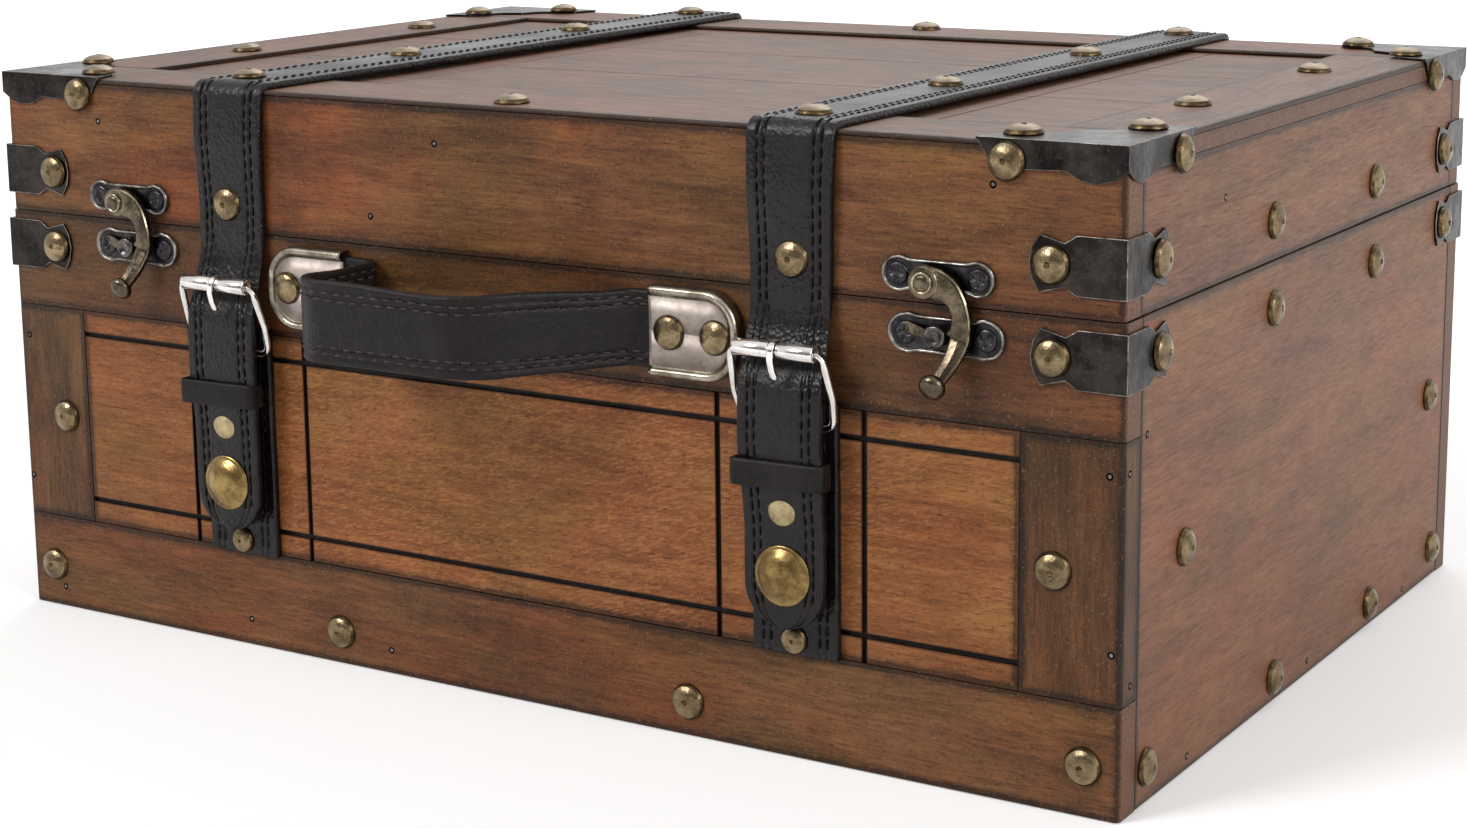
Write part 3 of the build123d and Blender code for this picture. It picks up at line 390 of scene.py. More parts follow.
# Mesh building, in mm
class Shell:
    """Points and faces gathered from several surfaces, each with its own material."""

    def __init__(self):
        self.points = []
        self.faces = []
        self.looks = []

    def add(self, surface, look=0, place=None):
        points, faces = surface
        first = len(self.points)
        self.points += [place @ point if place else point for point in points]
        self.faces += [tuple(first + index for index in face) for face in faces]
        self.looks += [look] * len(faces)

    def piece(self, name, materials, body, replaced=()):
        """The finished object, riding on its body."""
        mesh = bpy.data.meshes.new(name)
        mesh.from_pydata([tuple(point * mm) for point in self.points], [], self.faces)
        mesh.polygons.foreach_set("material_index", self.looks)
        mesh.polygons.foreach_set("use_smooth", [True] * len(self.faces))
        mesh.validate()
        mesh.update()
        for material in materials:
            mesh.materials.append(material)
        made = bpy.data.objects.new(name, mesh)
        bpy.context.scene.collection.objects.link(made)
        if body:
            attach(made, body)
        if replaced:
            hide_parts(*replaced)
        return made


def grid(rows, closed_across=False, closed_along=False, caps=True):
    """A surface through rows of points, with closed ends where it is a tube."""
    points = [point for row in rows for point in row]
    count = len(rows[0])
    faces = []
    for row in range(len(rows) if closed_along else len(rows) - 1):
        after = (row + 1) % len(rows)
        for index in range(count if closed_across else count - 1):
            other = (index + 1) % count
            faces.append((row * count + index, row * count + other,
                          after * count + other, after * count + index))
    if closed_across and caps and not closed_along:
        faces.append(tuple(reversed(range(count))))
        faces.append(tuple(range((len(rows) - 1) * count, len(rows) * count)))
    return points, faces


def ring(core, wide, outward, half_wide, half_thick, count):
    """Points round an ellipse, from one direction towards another."""
    turns = [math.tau * step / count for step in range(count)]
    return [core + wide * half_wide * math.cos(turn) + outward * half_thick * math.sin(turn)
            for turn in turns]


def lathe(profile, segments=28):
    """A surface turned about Z from (radius, height) pairs."""
    rows = [ring(Z * height, X, Y, radius, radius, segments) for radius, height in profile]
    return grid(rows, closed_across=True, caps=False)


def dome_profile(radius, height):
    """A domed head from its seat up to its crown, with a thin rounded rim."""
    rim, steps = 0.35, 7
    profile = [(radius * 0.9, 0.0), (radius, 0.12), (radius, rim)]
    for step in range(1, steps + 1):
        turn = math.pi / 2 * step / steps
        profile.append((max(radius * 0.97 * math.cos(turn), 0.001), rim + (height - rim) * math.sin(turn)))
    return profile


def facing(place, axis, roll=0.0):
    """The transform that puts a Z-up form at a place, with its top along an axis."""
    turn = Vector(axis).to_track_quat("Z", "Y").to_matrix().to_4x4()
    return Matrix.Translation(place) @ turn @ Matrix.Rotation(roll, 4, "Z")


def rounded(corners, radii, step=1.5):
    """Points along a line of straight runs with rounded corners."""
    corners = [Vector(corner) for corner in corners]
    stops = [corners[0]]
    for before, corner, after, radius in zip(corners, corners[1:], corners[2:], radii):
        back, ahead = (before - corner).normalized(), (after - corner).normalized()
        half = (math.pi - back.angle(ahead)) / 2
        if half < 1e-4 or radius <= 0:
            stops.append(corner)
            continue
        reach = radius * math.tan(half)
        centre = corner + (back + ahead).normalized() * (radius / math.cos(half))
        start, end = corner + back * reach - centre, corner + ahead * reach - centre
        count = max(3, int(2 * half / math.radians(11)))
        for index in range(count + 1):
            share = index / count
            stops.append(centre + start.normalized().slerp(end.normalized(), share) * radius)
    stops.append(corners[-1])
    points = [stops[0]]
    for before, after in zip(stops, stops[1:]):
        count = max(1, round((after - before).length / step))
        points += [before.lerp(after, (index + 1) / count) for index in range(count)]
    return points


def frames(points, across):
    """Each point of a path with the direction outward, square to the path and to the direction across."""
    made = []
    for index, point in enumerate(points):
        ahead = (points[min(index + 1, len(points) - 1)] - points[max(index - 1, 0)]).normalized()
        made.append((point, across.cross(ahead).normalized()))
    return made


def lengths(points):
    """The distance along the path at each point."""
    total = [0.0]
    for before, after in zip(points, points[1:]):
        total.append(total[-1] + (after - before).length)
    return total


def spot_on(places, along, here):
    """The point at a distance along a path, and the direction outward there."""
    index = next(i for i, value in enumerate(along) if value >= here)
    earlier = max(index - 1, 0)
    point, outward = places[index]
    span = along[index] - along[earlier]
    return places[earlier][0].lerp(point, (here - along[earlier]) / span if span else 0.0), outward


def eased(value):
    """A smooth step from 0 to 1."""
    value = min(max(value, 0.0), 1.0)
    return value * value * (3 - 2 * value)


def wobble(value, seed, size):
    """A smooth uneven number along a path."""
    return noise.noise(Vector((value * 0.045, seed * 7.3, seed))) * size


def box_of(node):
    """The low and the high corner of a CAD node, in mm."""
    return [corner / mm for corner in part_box(node)]


def strap_section(thickness, crown, rows):
    """Half-width shares and heights across a strap: rolled edges, sewn grooves and a padded middle."""
    rolled, groove, half_groove, steps = 0.04, 0.32, 0.035, 48
    heights = []
    for step in range(-steps, steps + 1):
        share = step / steps
        side = abs(share)
        height = thickness + crown * (1 - side ** 2)
        if side > 1 - rolled:
            height -= 0.7 * thickness * ((side - (1 - rolled)) / rolled) ** 3
        for row in rows:
            height -= groove * math.exp(-((side - row) / half_groove) ** 2)
        heights.append((share, height))
    return heights


def band(path, across, half_width, section, seed, shape=None, lift=None):
    """A strap swept along its inner face. Shape gives the share of the width, and lift the crown's share."""
    sway, inner, seat = 0.18, 0.985, 0.02
    rows = []
    for (point, outward), distance in zip(frames(path, across), lengths(path)):
        width = half_width * (shape(distance) if shape else 1.0)
        low_side = width + wobble(distance, seed + 1, sway)
        high_side = width + wobble(distance, seed + 2, sway)
        rise = lift(distance) if lift else 1.0
        row = []
        for share, height in section:
            reach = (low_side if share < 0 else high_side) * share
            row.append(point + across * reach + outward * (height * rise + (1 - rise) * section[0][1]))
        row.append(point + across * high_side * inner + outward * seat)
        row.append(point - across * low_side * inner + outward * seat)
        rows.append(row)
    return grid(rows, closed_across=True)


def stitches(path, across, offset, height, start, seed, width_at=None):
    """Thread that dips into the leather at each hole, as separate short stitches along a path."""
    length, pitch, radius, end = 2.7, 3.5, 0.27, 4.0
    places = frames(path, across)
    along = lengths(path)
    position = start
    while position + length < along[-1] - end:
        slant = noise.noise(Vector((position, seed * 3.1, 0.5))) * 0.22
        rings = []
        for step in range(6):
            share = step / 5
            here = position + length * share
            base, outward = spot_on(places, along, here)
            side = offset * (width_at(here) if width_at else 1.0) + slant * (share - 0.5) * 2
            rise = height + radius * 1.1 * math.sin(math.pi * min(max(share, 0.02), 0.98)) - radius * 0.5
            size = radius * (0.55 + 0.45 * math.sin(math.pi * share))
            rings.append(ring(base + across * side + outward * rise, across, outward, size, size, 6))
        yield grid(rings, closed_across=True)
        position += pitch


def islands(node):
    """The centre and the size of each separate solid in a CAD node, in mm."""
    mesh = nodes[node].data
    keys = {}
    parent = list(range(len(mesh.vertices)))

    def root(index):
        while parent[index] != index:
            parent[index] = parent[parent[index]]
            index = parent[index]
        return index

    for vertex in mesh.vertices:
        key = tuple(round(value, 5) for value in vertex.co)
        if key in keys:
            parent[root(vertex.index)] = root(keys[key])
        else:
            keys[key] = vertex.index
    for edge in mesh.edges:
        parent[root(edge.vertices[0])] = root(edge.vertices[1])
    groups = {}
    for vertex in mesh.vertices:
        groups.setdefault(root(vertex.index), []).append(vertex.co / mm)
    found = []
    for group in groups.values():
        low = Vector([min(point[axis] for point in group) for axis in range(3)])
        high = Vector([max(point[axis] for point in group) for axis in range(3)])
        found.append(((low + high) / 2, high - low))
    return sorted(found, key=lambda item: tuple(round(value, 2) for value in item[0]))


TRUNK_MIDDLE = Vector((0, 0, 81))


def outward_axis(centre, size):
    """The direction that a nail or screw faces: the odd one of its three sizes, away from the middle."""
    spreads = [abs(size[a] - size[b]) for a, b in ((1, 2), (0, 2), (0, 1))]
    axis = spreads.index(min(spreads))
    direction = Vector((0, 0, 0))
    direction[axis] = 1.0 if centre[axis] > TRUNK_MIDDLE[axis] else -1.0
    return direction, axis


def dress(node, materials, width, worn=None):
    """New materials on a CAD node, and modifiers that round its edges and leave its own points as they are.
    Worn is the index of the material for the rounded edges."""
    part = nodes[node]
    part.data.materials.clear()
    for material in materials:
        part.data.materials.append(material)
    part.modifiers.new("weld", "WELD").merge_threshold = 0.01 * mm
    bevel = part.modifiers.new("bevel", "BEVEL")
    bevel.width = width * mm
    bevel.segments = 2
    bevel.limit_method = "ANGLE"
    bevel.angle_limit = math.radians(35)
    bevel.use_clamp_overlap = True
    if worn is not None:
        bevel.material = worn
    part.modifiers.new("weighted", "WEIGHTED_NORMAL")


# Wooden boards: the CAD solids with their grain's direction, their stain and a tint
BOARDS = {
    "front_top_rail": ("X", "rail", 0.88),
    "front_bottom_rail": ("X", "rail", 1.18),
    "front_left_stile": ("Z", "rail", 0.95),
    "front_right_stile": ("Z", "rail", 0.80),
    "front_panel": ("X", "panel", 1.0),
    "back_board": ("X", "rail", 1.15),
    "left_side_board": ("Y", "side", 1.0),
    "right_side_board": ("Y", "side", 1.0),
    "bottom_board": ("X", "rail", 0.8),
    "lid_front_board": ("X", "lid", 1.0),
    "lid_back_board": ("X", "lid", 0.95),
    "lid_left_board": ("Y", "side", 0.95),
    "lid_right_board": ("Y", "side", 0.95),
    "lid_planked_board": ("X", "top", 0.95),
    "lid_front_strip": ("X", "top", 1.0),
    "lid_back_strip": ("X", "top", 1.05),
    "lid_left_strip": ("Y", "top", 1.0),
    "lid_right_strip": ("Y", "top", 1.0),
}
PANEL_GROOVES = (-110.9, -68.3, 68.3, 110.9)
PANEL_BORDER = 7.0
PANEL_FIGURE = 0.34
BOARD_EDGE = 0.5
GROOVED_EDGE = 0.22

for count, (node, (grain, stain, tint)) in enumerate(BOARDS.items()):
    low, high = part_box(node)
    figure, grooves, lines = 0.0, None, []
    if node == "front_panel":
        figure = PANEL_FIGURE
        grooves = (1, low.y + 0.9 * mm, low.y + 0.25 * mm)
        lines = [(0, x * mm, 0.62 * mm) for x in PANEL_GROOVES]
        lines += [(2, z, 0.62 * mm) for z in (low.z + PANEL_BORDER * mm, high.z - PANEL_BORDER * mm)]
    if node == "lid_planked_board":
        grooves = (2, high.z - 0.6 * mm, high.z - 0.15 * mm)
    if stain == "side":
        lines = [(1, low.y, 0.6 * mm), (1, high.y, 0.5 * mm)]
    look = wood(node, grain, stain, count + 1, tint, figure, grooves, lines)
    dress(node, (look,), GROOVED_EDGE if grooves else BOARD_EDGE)

for node in ("lid_corner_caps", "lid_edge_brackets", "body_edge_brackets"):
    dress(node, (IRON, WORN_IRON), 0.20, 1)
for node in ("left_hinge_body_leaf", "left_hinge_lid_leaf", "right_hinge_body_leaf", "right_hinge_lid_leaf"):
    dress(node, (STEEL,), 0.3)
dress("hinge_pins", (STEEL,), 0.2)


# Domed nails, rivets, snaps and screws
def die_mark(radius, crown, seed):
    """The small ragged dent that the nail's die leaves at the crown."""
    rows = []
    for share, height in ((1.0, -0.03), (0.72, -0.30), (0.35, -0.42), (0.02, -0.26)):
        row = []
        for step in range(24):
            angle = math.tau * step / 24
            ragged = 1.0 + 0.20 * math.cos(3 * angle + seed) + 0.10 * math.cos(7 * angle + seed * 2.0)
            reach = radius * share * ragged
            row.append(Vector((reach * math.cos(angle), reach * math.sin(angle), crown + height)))
        rows.append(row)
    return grid(rows, closed_across=True, caps=False)


def nail_heads(name, node, body, materials, height, radius_share, mark=True):
    """Lathed heads in the places of a CAD node's nails, each slightly turned and dented in its own way."""
    small, full, mark_share = 4.5, 5.5, 0.16
    shell = Shell()
    for count, (centre, size) in enumerate(islands(node)):
        direction, axis = outward_axis(centre, size)
        radius = size[(axis + 1) % 3] / 2 * radius_share
        top = centre + direction * size[axis] / 2
        seat = top - direction * height * (radius / (full * radius_share) if radius < small else 1.0)
        head = dome_profile(radius, (top - seat).length)
        crown = head[-1][1]
        if mark:
            head = head[:-2] + [(radius * mark_share, crown - 0.05)]
        tilt = Matrix.Rotation(math.radians(noise.noise(Vector((count * 3.7, 1.5, 0))) * 6), 4, "X")
        place = facing(seat, direction, count * 2.1) @ tilt
        # The lower band of each head takes the darker brass: tarnish, with painted shade where the dome turns
        # from the light
        for rows, look in ((head[:5], 1), (head[4:], 0)):
            points, faces = lathe(rows, 32)
            dented = []
            for point in points:
                sway = noise.noise(point * 0.42 + Vector((count * 5.1, count * 2.3, 0))) * 0.16
                dented.append(point + Vector((0, 0, sway * (point.z / height))))
            shell.add((dented, faces), look, place)
        if mark:
            shell.add(die_mark(radius * mark_share, crown, count), 2, place)
    return shell.piece(name, materials, body, (node,))


NAIL = (BRASS, DARK_BRASS, DARK_DENT)
nail_heads("body_nail_heads", "body_dome_nails", "body", NAIL, 2.5, 0.97)
nail_heads("lid_nail_heads", "lid_dome_nails", "lid", NAIL, 2.5, 0.97)
nail_heads("handle_rivet_heads", "handle_rivets", "body", (BRASS, DARK_BRASS), 2.1, 1.0, False)


def snap_profile(radius, height):
    """A snap's cap: a thin rolled rim, a shallow step and a full dome."""
    return [(radius * 0.93, 0.0), (radius, 0.2), (radius, 0.55), (radius * 0.95, 0.75),
            (radius * 0.90, 0.72), (radius * 0.84, 1.05), (radius * 0.70, 1.0 + (height - 1.0) * 0.50),
            (radius * 0.50, height - 0.36), (radius * 0.27, height - 0.10), (0.001, height)]


def screw_head(radius, height):
    """A round screw head with a cross recess."""
    rows = []
    rings, segments = 13, 32
    for step in range(rings):
        share = 1 - step / (rings - 1)
        row = ring(Vector(), X, Y, max(radius * share, 0.001), max(radius * share, 0.001), segments)
        for point in row:
            across, along = min(abs(point.x), abs(point.y)), max(abs(point.x), abs(point.y))
            point.z = height * math.sqrt(max(0.0, 1 - share ** 3))
            if along < radius * 0.62 and across < radius * 0.17:
                point.z -= height * 0.8
        rows.append(row)
    rows.insert(0, [point - Vector((0, 0, 0.3)) for point in rows[0]])
    return grid(rows, closed_across=True, caps=False)


def screws(name, node, body, material, spread=1.0):
    """Cross-head screws in the places of a CAD node's screws."""
    head, proud = 0.75, 0.15
    shell = Shell()
    for count, (centre, size) in enumerate(islands(node)):
        direction, axis = outward_axis(centre, size)
        radius = size[(axis + 1) % 3] / 2 * spread
        top = centre + direction * (size[axis] / 2 + proud)
        shell.add(screw_head(radius, head), 0, facing(top - direction * head, direction, 0.5 + count * 1.3))
    return shell.piece(name, (material,), body, (node,))


screws("hook_plate_screw_heads", "hook_plate_screws", "lid", BLACK, 1.2)
screws("catch_screw_heads", "catch_screws", "body", BLACK, 1.2)
screws("lid_hinge_screw_heads", "lid_hinge_screws", "lid", STEEL)
screws("body_hinge_screw_heads", "body_hinge_screws", "body", STEEL)

# Values of the straps and what they carry, from the CAD model
front = -125.0
back = 125.0
strap_place = 92.0
strap_thick = 2.2
strap_face = strap_thick - 0.12
strap_half = 12.5
tail_half = 11.5
tail_back = -130.45
tip = 36.3
tip_round = 11.0
lid_top = 161.8
axle_y = -135.05
axle_z = 107.9
SEWN = (0.74, 0.57)
ROLLER = [(1.0, 0.0), (1.75, 0.0), (2.08, 0.06), (2.2, 0.2), (2.2, 10.1), (2.08, 10.24), (1.75, 10.3),
          (1.0, 10.3), (1.0, 0.0)]
KEEPER_EDGE = ((-1, 0.0), (-1, 0.55), (-0.93, 0.95), (-0.75, 1.0), (0, 1.06), (0.75, 1.0), (0.93, 0.95),
               (1, 0.55), (1, 0.0))


def width_share(distance):
    """The long strap's width: a round tip, a narrow free end that is a little fuller, and the lid's part."""
    if distance < tip_round:
        return max(math.sqrt(max(tip_round ** 2 - (tip_round - distance) ** 2, 0.0)) + 0.5, 1.4) / strap_half
    fuller = 0.5 * eased((distance - 30.0) / 15.0) * (1.0 - eased((distance - 66.0) / 12.0))
    return (tail_half + fuller + eased((distance - 80.0) / 52.0) * (strap_half - tail_half)) / strap_half


def crown_share(distance):
    """The padding of the long strap, which is pressed flat under the roller."""
    return 1.0 - eased((distance - 60.0) / 8.0) * (1.0 - eased((distance - 76.0) / 10.0))


def sew(shell, path, seed, start, later=0.0, width_at=None):
    """Two rows of stitches along each edge of a strap, each row starting later than the one before."""
    for row, share in enumerate((-SEWN[0], -SEWN[1], SEWN[1], SEWN[0])):
        offset, first = share * strap_half, start + row * later
        for stitch in stitches(path, X, offset, strap_face, first, row + seed, width_at):
            shell.add(stitch, 1)


for side, sign in (("left", -1), ("right", 1)):
    middle = strap_place * sign
    upper = middle - 0.7 * sign
    full = middle - 0.6 * sign
    tail_body = side + "_tail"
    corners = [(middle, tail_back, tip), (middle, tail_back, 62.0), (full, tail_back - 1.5, 84.0),
               (full, tail_back - 1.0, 101.0), (upper, -125.6, 118.5), (upper, -125.2, 128.0),
               (upper, front - 0.9, 148.0), (upper, front, lid_top), (upper, back, lid_top),
               (upper, back, 137.8)]
    path = rounded(corners, (40.0, 24.0, 16.0, 16.0, 30.0, 30.0, 2.6, 1.2), 1.2)
    shell = Shell()
    section = strap_section(strap_face, 0.28, SEWN)
    shell.add(band(path, X, strap_half, section, sign * 3.0, width_share, crown_share))
    sew(shell, path, sign * 5.0, 5.0, 0.8, width_share)
    strap = shell.piece(side + "_long_strap", (STRAP, THREAD), None,
                        (side + "_lid_strap", side + "_strap_tail"))
    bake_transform(strap)

    # The short strap under the tail
    shell = Shell()
    path = rounded([(middle, front, 28.2), (middle, front, 94.0)], (), 1.3)
    shell.add(band(path, X, strap_half, strap_section(strap_face, 0.0, SEWN), sign * 4.0))
    sew(shell, path, sign * 6.0, 2.5)
    shell.piece(side + "_short_strap", (STRAP, THREAD), "body", (side + "_base_strap",))

    # The loose keeper round the tail
    low, high = box_of(side + "_keeper")
    thick = 1.15
    half = (high.x - low.x) / 2 - thick
    shallow, deep = low.y + thick - 1.0, high.y - thick
    loop = rounded([(middle, deep + 0.25, 0), (middle - half, deep, 0),
                    (middle - half - 1.1, shallow - 0.5, 0), (middle + half - 0.9, shallow + 0.2, 0),
                    (middle + half - 0.4, deep, 0), (middle, deep + 0.25, 0)], (0.6, 0.7, 0.9, 0.6), 0.8)
    rows = []
    for point, outward in frames(loop, -Z)[:-1]:
        if outward.dot(point - Vector((middle, (shallow + deep) / 2, 0))) < 0:
            outward.negate()
        row = []
        for share, level in KEEPER_EDGE:
            lean = 0.25 * (point.x - middle) / half
            height = (low.z + high.z) / 2 + share * (high.z - low.z) / 2 * 0.96 + lean * 0.6
            row.append(Vector((point.x, point.y, height)) + outward * level * thick)
        rows.append(row)
    shell = Shell()
    shell.add(grid(rows, closed_across=True, closed_along=True))
    shell.piece(side + "_keeper_band", (STRAP_EDGE,), tail_body, (side + "_keeper",))

    # Roller buckle: a wire frame that bows out at its legs, two sleeves and a bent prong
    axle = Vector((middle + (1.2 if sign < 0 else -0.4), axle_y, axle_z))
    foot = -128.55
    bow = axle_y + 0.62 * (foot - axle_y)
    wire = rounded([axle, axle + X * 13.2, (axle.x + 14.0, bow, 96.0), (axle.x + 12.9, foot, 88.0),
                    (axle.x - 12.9, foot, 88.0), (axle.x - 14.2, bow, 96.0), axle - X * 13.2, axle],
                   (2.6, 9.0, 3.6, 3.6, 9.0, 2.6), 0.6)[:-1]
    rows = []
    for index, point in enumerate(wire):
        ahead = (wire[(index + 1) % len(wire)] - wire[index - 1]).normalized()
        outward = (-Y - ahead * (-Y).dot(ahead)).normalized()
        slim = 1.0 - 0.30 * eased((point.z - 104.0) / 3.0)
        rows.append(ring(point, ahead.cross(outward), outward, slim, 0.95 * slim, 16))
    shell = Shell()
    shell.add(grid(rows, closed_across=True, closed_along=True))
    shell.piece(side + "_buckle_wire", (NICKEL,), tail_body, (side + "_buckle_frame",))

    shell = Shell()
    for direction in (X, -X):
        shell.add(lathe(ROLLER, 40), 0, facing(axle + direction * 1.2, direction))
    shell.piece(side + "_roller_tube", (NICKEL,), side + "_roller", (side + "_roller_sleeves",))

    bend = [(0, 2.1, -1.0), (0, 2.1, 2.0), (0, -2.25, 2.0), (0, -2.35, -2.2), (0.25, -1.9, -4.8),
            (0.8, -1.15, -7.1)]
    prong = rounded([axle + Vector(corner) for corner in bend], (2.0, 2.1, 5.0, 5.0), 0.35)
    rows = []
    for index, (point, outward) in enumerate(frames(prong, X)):
        share = index / (len(prong) - 1)
        half_wide = 1.0 - 0.16 * share
        half_thick = 0.58
        if share > 0.93:
            half_wide *= math.sqrt(max(1 - ((share - 0.93) / 0.075) ** 2, 0.05))
            half_thick *= math.sqrt(max(1 - ((share - 0.93) / 0.09) ** 2, 0.05))
        row = []
        for step in range(20):
            across, along = math.cos(math.tau * step / 20), math.sin(math.tau * step / 20)
            boxy = (across ** 4 + along ** 4) ** -0.25
            row.append(point + X * half_wide * across * boxy + outward * half_thick * along * boxy)
        rows.append(row)
    shell = Shell()
    shell.add(grid(rows, closed_across=True))
    shell.piece(side + "_prong_tongue", (NICKEL,), side + "_prong", (side + "_prong",))

    # The tail's flat rivet, the snap's cap and its socket
    low, high = box_of(side + "_tail_rivet")
    radius = (high.x - low.x) / 2
    shell = Shell()
    shell.add(lathe([(radius * 0.9, 0.0), (radius, 0.15), (radius, 0.4), (radius * 0.9, 0.62),
                     (radius * 0.6, 0.78), (0.001, 0.82)]), 0,
              facing(Vector((middle, low.y + 0.78, (low.z + high.z) / 2)), -Y))
    shell.piece(side + "_flat_rivet", (PALE_BRASS,), tail_body, (side + "_tail_rivet",))
    low, high = box_of(side + "_snap_cap")
    cap, level = 2.9, (low.z + high.z) / 2
    shell = Shell()
    dome = lathe(snap_profile((high.x - low.x) / 2, cap), 40)
    shell.add(dome, 0, facing(Vector((middle, low.y + cap, level)), -Y))
    shell.add(lathe([(4.0, 0.0), (4.4, 0.5), (4.4, 1.1), (3.4, 1.25)]), 0,
              facing(Vector((middle, tail_back + 0.05, level)), Y))
    shell.piece(side + "_snap_dome", (GILT,), tail_body, (side + "_snap_cap",))

shell = Shell()
for centre, size in islands("snap_bases"):
    radius = size.x / 2
    shell.add(lathe([(radius, 0.0), (radius, 0.3), (radius * 0.8, 0.55), (radius * 0.5, 0.5),
                     (radius * 0.42, 0.98), (radius * 0.3, 1.0), (0.001, 0.95)]), 0,
              facing(centre + Y * size.y / 2, -Y))
shell.piece("snap_studs", (PALE_BRASS,), "body", ("snap_bases",))

# Handle: a thick strap with torn edges and two sewn rows top and bottom
handle_half = 10.0
handle_thick = 2.4
handle_seat = -126.275
handle_z = 107.7
HANDLE_SEWN = (0.80, 0.62)
PUNCH = [(0.62, -0.30), (0.62, 0.0), (0.30, 0.02), (0.001, 0.0)]
handle_line = ((-66, handle_seat), (-39.5, handle_seat), (-41.9, -161), (16.2, -161), (43.4, handle_seat),
               (66, handle_seat))
path = rounded([(x, y, handle_z) for x, y in handle_line], (3.6, 10.8, 18.0, 3.6), 0.9)
places = frames(path, -Z)
along = lengths(path)


def torn(distance, swell, seed, fine_seed):
    """Half of the handle's width at a distance along it: swelling in the hand, with a torn edge."""
    fine = noise.noise(Vector((distance * 1.1, fine_seed, 0))) * 0.2
    return handle_half + swell + wobble(distance, seed, 0.5) + fine


rows = []
for (point, outward), distance in zip(places, along):
    fuller = eased((distance - 40.0) / 18.0) * (1.0 - 0.4 * eased((distance - 70.0) / 45.0))
    fuller *= 1.0 - eased((distance - 132.0) / 20.0)
    above = torn(distance, 0.9 * fuller, 1.0, 4.0)
    below = torn(distance, 1.1 * fuller, 2.0, 9.0)
    row = []
    for face_sign in (1, -1):
        for step in range(-30, 31):
            share = step / 30 * face_sign
            sided = abs(share)
            depth = handle_thick / 2
            for place in HANDLE_SEWN:
                depth -= 0.22 * math.exp(-((sided - place) / 0.045) ** 2)
            if sided > 0.93:
                depth -= 0.35 * ((sided - 0.93) / 0.07) ** 2
            reach = (above if share > 0 else below) * share
            row.append(point + Z * reach + outward * depth * face_sign)
    rows.append(row)
shell = Shell()
shell.add(grid(rows, closed_across=True))

for face_sign in (1, -1):
    for row, share in enumerate((HANDLE_SEWN[0], HANDLE_SEWN[1], -HANDLE_SEWN[1], -HANDLE_SEWN[0])):
        position = 5.0 + row * 1.3
        while position < along[-1] - 6.0:
            drift = noise.noise(Vector((position * 0.06, row * 3.0, 2.0))) * 0.45
            slant = noise.noise(Vector((position * 1.3, row * 5.0, 7.0))) * 0.35
            rings = []
            for step in range(6):
                base, outward = spot_on(places, along, position + 2.9 * step / 5)
                bow = math.sin(math.pi * step / 5)
                core = base + Z * (share * handle_half + drift + slant * (step / 5 - 0.5))
                core = core + outward * face_sign * (handle_thick / 2 - 0.42 + 0.42 * bow)
                size = 0.24 + 0.14 * bow
                rings.append(ring(core, Z, outward, size, size, 6))
                # A near-black disc at each end of a stitch is painted shade in its punched hole
                if step in (0, 5):
                    pierced = core + outward * face_sign * 0.22
                    shell.add(lathe(PUNCH, 10), 2, facing(pierced, outward * face_sign))
            shell.add(grid(rings, closed_across=True), 1)
            position += 4.1
shell.piece("handle_loop", (HANDLE, PALE_THREAD, HOLE_SHADE), "body", ("handle_strap",))

# Handle plates: a flat floor inside a rolled D-shaped rim that is open towards the loop
PLATE_ROLL = ((1.0, 0.0), (1.05, 2.4), (1.02, 3.3), (0.82, 3.85), (0.40, 4.15), (-0.10, 4.18), (-0.55, 3.95),
              (-0.78, 3.55), (-0.86, 3.36), (-1.5, 3.34))
for side, sign in (("left", -1), ("right", 1)):
    low, high = box_of(side + "_handle_plate")
    mouth, end = (low.x, high.x) if sign > 0 else (high.x, low.x)
    level = (low.z + high.z) / 2
    bead = 1.0
    inner = (high.z - low.z) / 2 - bead
    bend = 8.4
    line = rounded([(mouth, 0, level + inner), (end - sign * bead, 0, level + inner),
                    (end - sign * bead, 0, level - inner), (mouth, 0, level - inner)], (bend, bend), 0.9)
    rim_rows = [[Vector((point.x, front - height, point.z)) + outward * reach
                 for reach, height in PLATE_ROLL] for point, outward in frames(line, -Y * sign)]
    floor_row = [row[-1] for row in rim_rows]
    shell = Shell()
    shell.add(grid(rim_rows), 1)
    shell.add(grid([floor_row, [Vector((point.x, point.y, level)) for point in floor_row]]), 0)
    lip_top = [Vector((mouth, front - 3.34, level + reach)) for reach in (1.5 - inner, inner - 1.5)]
    shell.add(grid([lip_top, [point + Y * 0.7 for point in lip_top]]), 0)
    plate = shell.piece(side + "_handle_mount", (PEWTER, PEWTER_RIM), "body",
                        (side + "_handle_plate",))
    solid = plate.modifiers.new("thickness", "SOLIDIFY")
    solid.thickness = 0.45 * mm
    solid.offset = 0.0


# Latches: dark plates with a rim, and a nub and a tongue on each catch
PLATE_EDGE = ((0.0, 0.0), (0.0, 0.72), (0.10, 1.12), (0.30, 1.36), (0.55, 1.42), (0.78, 1.26), (0.92, 0.94),
              (1.05, 0.80))
LATCH_REACH = 10.8
LATCH_X = 131.5
HOOK_PLATE_Z = 128.3
CATCH_Z = 114.0
NUB_Z = 114.1
NUB_PROFILE = [(2.75, 0.0), (2.95, 1.2), (3.02, 3.3), (2.94, 3.95), (2.70, 4.32), (2.32, 4.40), (1.95, 4.22),
               (1.6, 3.85), (0.8, 3.72), (0.001, 3.70)]
TONGUE_EDGE = ((-0.8, 0), (-1.0, 0), (-1.0, 1), (-0.8, 1), (0.8, 1), (1.0, 1), (1.0, 0), (0.8, 0))


